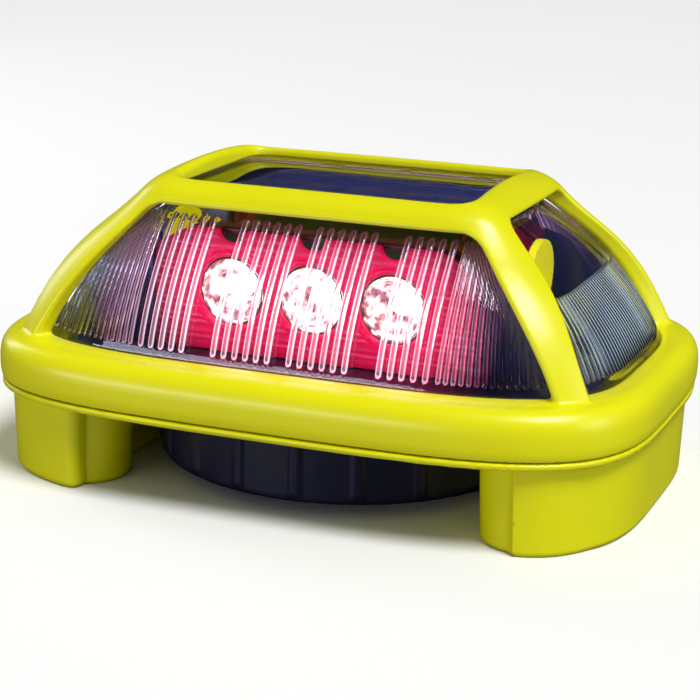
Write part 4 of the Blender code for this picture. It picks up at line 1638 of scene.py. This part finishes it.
@dataclass
class SideShroud(Assembly):
    """Thin dark plates that run out from the ends of both reflector housings, and dark covers on those ends
    that paint the shade they lie in.
    """

    plane_y: float = 21.0
    thickness: float = 1.2
    shade_cover_low: Point = (40.3, 16.9, 30.4)
    shade_cover_high: Point = (41.3, 25.6, 54.2)
    outline: tuple[Pair, ...] = (
        (40.6, 30.2), (61.5, 30.2), (60.0, 36.0), (54.0, 46.0), (46.5, 55.0), (40.6, 56.5))

    def build(self) -> None:
        """Builds the four plates and the four covers of painted shade."""
        for side in Side:
            for end, sign in (("left", -1.0), ("right", 1.0)):
                y = side.value * self.plane_y
                outer = [(sign * x, y, z) for x, z in self.outline]
                inner = [(x, y - side.value * self.thickness, z) for x, _, z in outer]
                count = len(outer)
                flip = 1 if sign * side.value > 0 else -1
                faces = [tuple(range(count))[::-flip], tuple(range(count, 2 * count))[::flip]]
                for i in range(count):
                    j = (i + 1) % count
                    faces.append((i, j, count + j, count + i)[::flip])
                plate = solid_object(f"side_shroud_{side.name.lower()}_{end}", outer + inner, faces)
                bevel = plate.modifiers.new("soft_edges", "BEVEL")
                bevel.width = 0.25 * MM
                bevel.segments = 2
                self.add(plate, self.finishes.slate, "root", "black_plastic")
                # Painted shade: dark covers over the red ends of the housings, where those ends lie in shade.
                corners = [(sign * x, side.value * y, z) for x, y, z in (self.shade_cover_low, self.shade_cover_high)]
                low, high = (tuple(pick(axis) for axis in zip(*corners)) for pick in (min, max))
                cover = rounded_block(f"housing_cover_{side.name.lower()}_{end}", low, high, 0.3)
                self.add(cover, self.finishes.slate, "root", "black_plastic")


@dataclass
class SolarTop(Assembly):
    """Solar panel under the clear top: a dark board, its cells and their silver lines."""

    cells: tuple[int, int] = (6, 2)
    gap: float = 0.35
    margin: float = 0.3

    def build(self) -> None:
        """Builds the panel and puts it in place."""
        low, high = (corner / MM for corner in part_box("solar_panel"))
        board = rounded_block("solar_board", (low.x - 0.4, low.y - 0.8, low.z),
                              (high.x + 0.4, high.y + 0.8, high.z - 0.45), 0.3)
        self.add(board, self.finishes.inner_black, "root", "solar_cell", "solar_panel")
        columns, rows = self.cells
        width = (high.x - low.x - 2 * self.margin) / columns
        depth = (high.y - low.y - 2 * self.margin) / rows
        for column in range(columns):
            for row in range(rows):
                x = low.x + self.margin + column * width + self.gap / 2
                y = low.y + self.margin + row * depth + self.gap / 2
                corner = (x + width - self.gap, y + depth - self.gap, high.z - 0.12)
                name = f"solar_cell_{column + 1}_{row + 1}"
                cell = rounded_block(name, (x, y, high.z - 0.5), corner, 0.08, 2)
                self.add(cell, self.finishes.solar, "root", "solar_cell")
        for row in range(rows):
            y = low.y + self.margin + (row + 0.5) * depth
            bar = rounded_block(f"solar_bar_{row + 1}", (low.x + self.margin, y - 0.35, high.z - 0.2),
                                (high.x - self.margin, y + 0.35, high.z - 0.02), 0.05, 2)
            self.add(bar, self.finishes.silver, "root", "solar_cell")


# Battery compartment ------------------------------------------------------------------


@dataclass
class BatteryCap(Assembly):
    """Black screw cap with grip ribs round its side and a recess below."""

    radius: float = 45.6
    bore: float = 43.6
    low_z: float = 3.4
    floor_z: float = 6.6
    high_z: float = 19.4
    rib_count: int = 20
    rib_rise: float = 0.65
    rib_start: float = 6.0

    def rib(self, angle: float, radius: float, height: float) -> float:
        """Rise of the grip ribs at an angle round the cap's side.

        Args:
            angle: Angle round the cap.
            radius: Radius there.
            height: Height above the feet.

        Returns:
            Rise of the surface.
        """
        if radius < self.radius - 0.01:
            return 0.0
        pitch = 360 / self.rib_count
        aside = (math.degrees(angle) - self.rib_start + pitch / 2) % pitch - pitch / 2
        ends = min(height - self.low_z - 1.2, self.high_z - 0.6 - height)
        fade = min(max(ends / 0.8, 0.0), 1.0)
        return self.rib_rise * min(max((2.1 - abs(aside)) / 0.8, 0.0), 1.0) * fade

    def build(self) -> None:
        """Builds the cap and puts it in place."""
        low, high, side = self.low_z, self.high_z, self.radius
        bore, floor = self.bore, self.floor_z
        profile = [(0.0, low + 0.9), (8.0, low + 0.9), (8.4, low + 0.5), (9.6, low + 0.5), (10.0, low + 0.9),
                   (29.2, low + 0.9), (29.9, low + 0.6), (30.6, low + 0.1), (31.2, low), (43.6, low),
                   (44.5, low + 0.15), (45.2, low + 0.55), (side - 0.02, low + 1.2)]
        profile += [(side, z) for z in np.linspace(low + 1.25, high - 0.65, 18)]
        profile += [(side - 0.02, high - 0.5), (side - 0.2, high - 0.15), (side - 0.5, high),
                    (bore + 0.3, high), (bore, high - 0.3), (bore, floor + 0.6), (bore - 0.5, floor),
                    (0.0, floor)]
        cap = lathe("screw_cap", profile, 720, spin=self.rib, crisp=50.0)
        self.add(cap, self.finishes.cap_black, "cap", "black_plastic", "battery_cap")


@dataclass
class CellPack(Assembly):
    """Three cells side by side along X, each in a sleeve with bright ends."""

    pitch: float = 14.9
    axis_z: float = 15.6
    start_x: float = -23.6
    radius: float = 7.15

    def build(self) -> None:
        """Builds the cells and finishes the contacts round them."""
        for number in range(3):
            at = (self.start_x, (number - 1) * self.pitch, self.axis_z)
            sleeve = [(0.0, 0.15), (6.1, 0.15), (6.3, 0.0), (self.radius - 0.3, 0.0), (self.radius, 0.3),
                      (self.radius, 49.0), (self.radius - 0.3, 49.35), (6.2, 49.35), (6.0, 49.2), (0.0, 49.2)]
            cell = lathe(f"cell_sleeve_{number + 1}", sleeve, 72, at, "X")
            self.add(cell, self.finishes.sleeve, "root", "cell_sleeve", f"battery_cell_{number + 1}")
            tip = [(0.0, 49.0), (4.9, 49.0), (4.9, 49.45), (2.9, 49.5), (2.7, 49.8), (2.7, 50.2),
                   (2.4, 50.45), (0.0, 50.45)]
            button = lathe(f"cell_tip_{number + 1}", tip, 48, at, "X")
            self.add(button, self.finishes.nickel, "root", "nickel")
            dress(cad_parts[f"contact_spring_{number + 1}"], self.finishes.nickel)


@dataclass
class CaseScrew(Assembly):
    """Pan-head screw with a crossed recess and a thread, driven upwards."""

    number: int
    corner: tuple[int, int]
    head_radius: float = 2.45
    radius: float = 1.4
    low_z: float = 8.5
    seat_z: float = 10.7
    tip_z: float = 28.7
    thread_pitch: float = 0.9

    @property
    def at(self) -> Pair:
        """Plan position of the screw's axis."""
        return self.corner[0] * SCREW_AT[0], self.corner[1] * SCREW_AT[1]

    def shape(self, x: np.ndarray, y: np.ndarray, z: np.ndarray) -> np.ndarray:
        """Field of the screw.

        Args:
            x: X of the points.
            y: Y of the points.
            z: Height of the points.

        Returns:
            Signed distance, negative inside.
        """
        x, y = x - self.at[0], y - self.at[1]
        radius = np.hypot(x, y)
        head = outer_round(radius - self.head_radius, self.low_z - z, 0.9)
        head = outer_round(head, z - self.seat_z, 0.2)
        turn = np.arctan2(y, x) / (2 * math.pi)
        lead = np.abs(np.mod(z / self.thread_pitch - turn, 1.0) - 0.5) * 2
        shank = radius - self.radius + 0.28 * lead
        shank = outer_round(shank, z - self.tip_z + 0.55 * radius, 0.1)
        shank = np.maximum(shank, self.seat_z - 0.5 - z)
        body = np.minimum(head, shank)
        depth = z - self.low_z - 1.3
        cross = np.minimum(*(np.maximum(np.abs(a) - 1.4, np.abs(b) - 0.33) for a, b in ((x, y), (y, x))))
        return outer_round(body, -np.maximum(cross, depth), 0.1)

    def build(self) -> None:
        """Builds the screw and puts it in place."""
        low = (self.at[0] - 3.0, self.at[1] - 3.0, self.low_z - 0.6)
        high = (self.at[0] + 3.0, self.at[1] + 3.0, self.tip_z + 0.6)
        solid = FieldSolid(low, high, 0.24)
        piece = solid.mesh(f"pan_head_screw_{self.number}", self.shape)
        self.add(piece, self.finishes.steel, "root", "steel", f"case_screw_{self.number}")


@dataclass
class PowerButton(Assembly):
    """Domed rubber button on the underside, with its collar."""

    at: Pair = (36.6, 37.4)

    def build(self) -> None:
        """Builds the button and finishes its collar."""
        low, high = (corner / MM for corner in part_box("power_button"))
        tall = high.z - low.z
        profile = [(0.0, 0.0), (0.9, 0.02), (1.6, 0.12), (2.3, 0.4), (2.7, 0.8), (2.9, 1.3), (3.0, 1.5),
                   (3.4, 1.6), (3.5, 1.8), (3.5, 2.1), (3.3, 2.2), (2.0, 2.2), (2.0, tall), (0.0, tall)]
        button = lathe("rubber_button", profile, 64, (*self.at, low.z))
        self.add(button, self.finishes.rubber, "button", "black_rubber", "power_button")
        dress(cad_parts["button_bezel"], self.finishes.inner_black)


@dataclass
class InnerFrame(Assembly):
    """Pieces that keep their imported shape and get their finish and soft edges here."""

    edges_mm: float = 0.35
    plans: dict[str, str] = field(default_factory=lambda: {
        "chassis_plate": "inner_black", "battery_holder": "inner_black", "switch_body": "chip",
        "lens_gasket": "rubber", "cap_seal_ring": "rubber", "end_bracket_left": "bracket",
        "end_bracket_right": "bracket", "control_board": "board", "contact_plate_positive": "nickel",
        "contact_plate_negative": "nickel", "solar_lead": "wire", "battery_lead": "wire",
    })
    softened: tuple[str, ...] = ("chassis_plate", "battery_holder", "switch_body", "end_bracket_left",
                                 "end_bracket_right")

    def build(self) -> None:
        """Finishes the pieces."""
        for node, finish in self.plans.items():
            dress(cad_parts[node], getattr(self.finishes, finish))
        for node in self.softened:
            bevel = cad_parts[node].modifiers.new("soft_edges", "BEVEL")
            bevel.width = self.edges_mm * MM
            bevel.segments = 2
            bevel.limit_method = "ANGLE"
            bevel.angle_limit = math.radians(40)


# Studio -------------------------------------------------------------------------------


def hang(lamp: bpy.types.Light, back: Vector) -> bpy.types.Object:
    """Puts a light into the scene.

    Args:
        lamp: The light.
        back: Direction from what it lights back to it.

    Returns:
        The new object.
    """
    made = bpy.data.objects.new(lamp.name, lamp)
    made.rotation_euler = back.to_track_quat("Z", "Y").to_euler()
    bpy.context.scene.collection.objects.link(made)
    return made


@dataclass(frozen=True)
class Softbox:
    """A rectangular light, placed and aimed in millimetres."""

    name: str
    at: Point
    aim: Point
    size: Pair
    power: float
    colour: Colour = (1.0, 1.0, 1.0)

    def build(self) -> None:
        """Hangs the light."""
        lamp = bpy.data.lights.new(self.name, "AREA")
        lamp.shape = "RECTANGLE"
        lamp.size, lamp.size_y = self.size[0] * MM, self.size[1] * MM
        lamp.energy = self.power
        lamp.color = self.colour
        hang(lamp, Vector(self.at) - Vector(self.aim)).location = Vector(self.at) * MM


@dataclass
class Studio:
    """Pale floor, soft lights and the camera."""

    azimuth: float = 21.99
    elevation: float = 15.44
    roll: float = 1.03
    distance: float = 491.9
    target: Point = (-3.32, -2.88, 27.97)
    lens_mm: float = 104.77
    shift: Pair = (0.0222, -0.0020)
    surround: float = 0.22
    bounce: Colour = (0.36, 0.36, 0.36)
    reflected: Colour = (0.02, 0.022, 0.05)
    main_toward: Point = (0.42, -0.25, 0.87)
    main_power: float = 2.5
    main_spread: float = 24.0
    boxes: tuple[Softbox, ...] = (
        Softbox("left_box", (-800, 230, 330), (0, 0, 40), (220, 420), 1.1),
        Softbox("right_box", (760, -60, 260), (0, 0, 30), (420, 420), 1.3, (0.9, 1.0, 0.9)),
        Softbox("front_box", (-520, -900, 60), (0, 0, 20), (900, 110), 2.7),
    )
    floor_half: float = 6000.0

    def build(self) -> None:
        """Builds the whole studio."""
        self.floor()
        self.sky()
        self.overhead()
        for box in self.boxes:
            box.build()
        self.camera()

    def floor(self) -> None:
        """Lays a broad pale floor."""
        half = self.floor_half
        corners = [(-half, -half, 0), (half, -half, 0), (half, half, 0), (-half, half, 0)]
        made = solid_object("studio_floor", corners, [(0, 1, 2, 3)])
        graph = Graph("studio_floor_paint")
        tint = graph.ramp(graph.noise(3, 2), [(0.3, (0.95, 0.95, 0.95)), (0.7, (0.97, 0.97, 0.97))])
        graph.feed("Base Color", tint)
        graph.set(Roughness=0.9)
        path = graph.tree.nodes.new("ShaderNodeLightPath")
        last = graph.tree.nodes.new("ShaderNodeBsdfDiffuse")
        last.inputs["Color"].default_value = (*self.reflected, 1.0)
        bounce = graph.tree.nodes.new("ShaderNodeBsdfDiffuse")
        bounce.inputs["Color"].default_value = (*self.bounce, 1.0)
        for ray, shader in (("Is Diffuse Ray", bounce), ("Is Camera Ray", graph.shader)):
            last = graph.mix_shaders(path.outputs[ray], last, shader)
        graph.link(last.outputs[0], graph.output.inputs["Surface"])
        dress(made, graph.material)

    def sky(self) -> None:
        """Sets a white backdrop and a dim, even surrounding light."""
        world = bpy.data.worlds.new("studio_light")
        world.use_nodes = True
        tree = world.node_tree
        path = tree.nodes.new("ShaderNodeLightPath")
        last = tree.nodes["Background"]
        last.inputs["Color"].default_value = (*self.reflected, 1.0)
        for ray, level in (("Is Diffuse Ray", self.surround), ("Is Camera Ray", 1.0)):
            light = tree.nodes.new("ShaderNodeBackground")
            light.inputs["Strength"].default_value = level
            light.inputs["Color"].default_value = (1.0, 1.0, 1.0, 1.0)
            mix = tree.nodes.new("ShaderNodeMixShader")
            tree.links.new(path.outputs[ray], mix.inputs[0])
            tree.links.new(last.outputs[0], mix.inputs[1])
            tree.links.new(light.outputs[0], mix.inputs[2])
            last = mix
        tree.links.new(last.outputs[0], tree.nodes["World Output"].inputs["Surface"])
        bpy.context.scene.world = world
        bpy.context.scene.view_settings.view_transform = "Standard"

    def overhead(self) -> None:
        """Hangs the broad main light."""
        lamp = bpy.data.lights.new("main_light", "SUN")
        lamp.energy = self.main_power
        lamp.angle = math.radians(self.main_spread)
        hang(lamp, Vector(self.main_toward))

    def camera(self) -> None:
        """Sets up the camera from its direction, distance and roll."""
        a, e, r = (math.radians(v) for v in (self.azimuth, self.elevation, self.roll))
        forward = Vector((-math.sin(a) * math.cos(e), math.cos(a) * math.cos(e), -math.sin(e)))
        level = forward.cross(Vector((0, 0, 1))).normalized()
        upright = level.cross(forward)
        right = level * math.cos(r) + upright * math.sin(r)
        up = upright * math.cos(r) - level * math.sin(r)
        where = (Vector(self.target) - forward * self.distance) * MM
        data = bpy.data.cameras.new("camera")
        data.lens = self.lens_mm
        data.sensor_width = 36.0
        data.shift_x, data.shift_y = self.shift
        data.clip_start = 0.01
        made = bpy.data.objects.new("camera", data)
        made.matrix_world = Matrix((
            (right.x, up.x, -forward.x, where.x),
            (right.y, up.y, -forward.y, where.y),
            (right.z, up.z, -forward.z, where.z),
            (0.0, 0.0, 0.0, 1.0),
        ))
        bpy.context.scene.collection.objects.link(made)
        bpy.context.scene.camera = made


def main() -> None:
    """Builds the light and its studio."""
    finishes = Finishes()
    form = LensForm()
    corners = ((-1, -1), (-1, 1), (1, -1), (1, 1))
    assemblies = [
        GuardCage(finishes, form), BaseTray(finishes, form), RibbedLens(finishes, form),
        *(LampSide(finishes, side) for side in Side), SideShroud(finishes), SolarTop(finishes),
        BatteryCap(finishes), CellPack(finishes),
        *(CaseScrew(finishes, number, corner) for number, corner in enumerate(corners, 1)),
        PowerButton(finishes), InnerFrame(finishes),
    ]
    for assembly in assemblies:
        assembly.build()
        log.info("built %s", type(assembly).__name__)
    Studio().build()


if __name__ == "__main__":
    main()
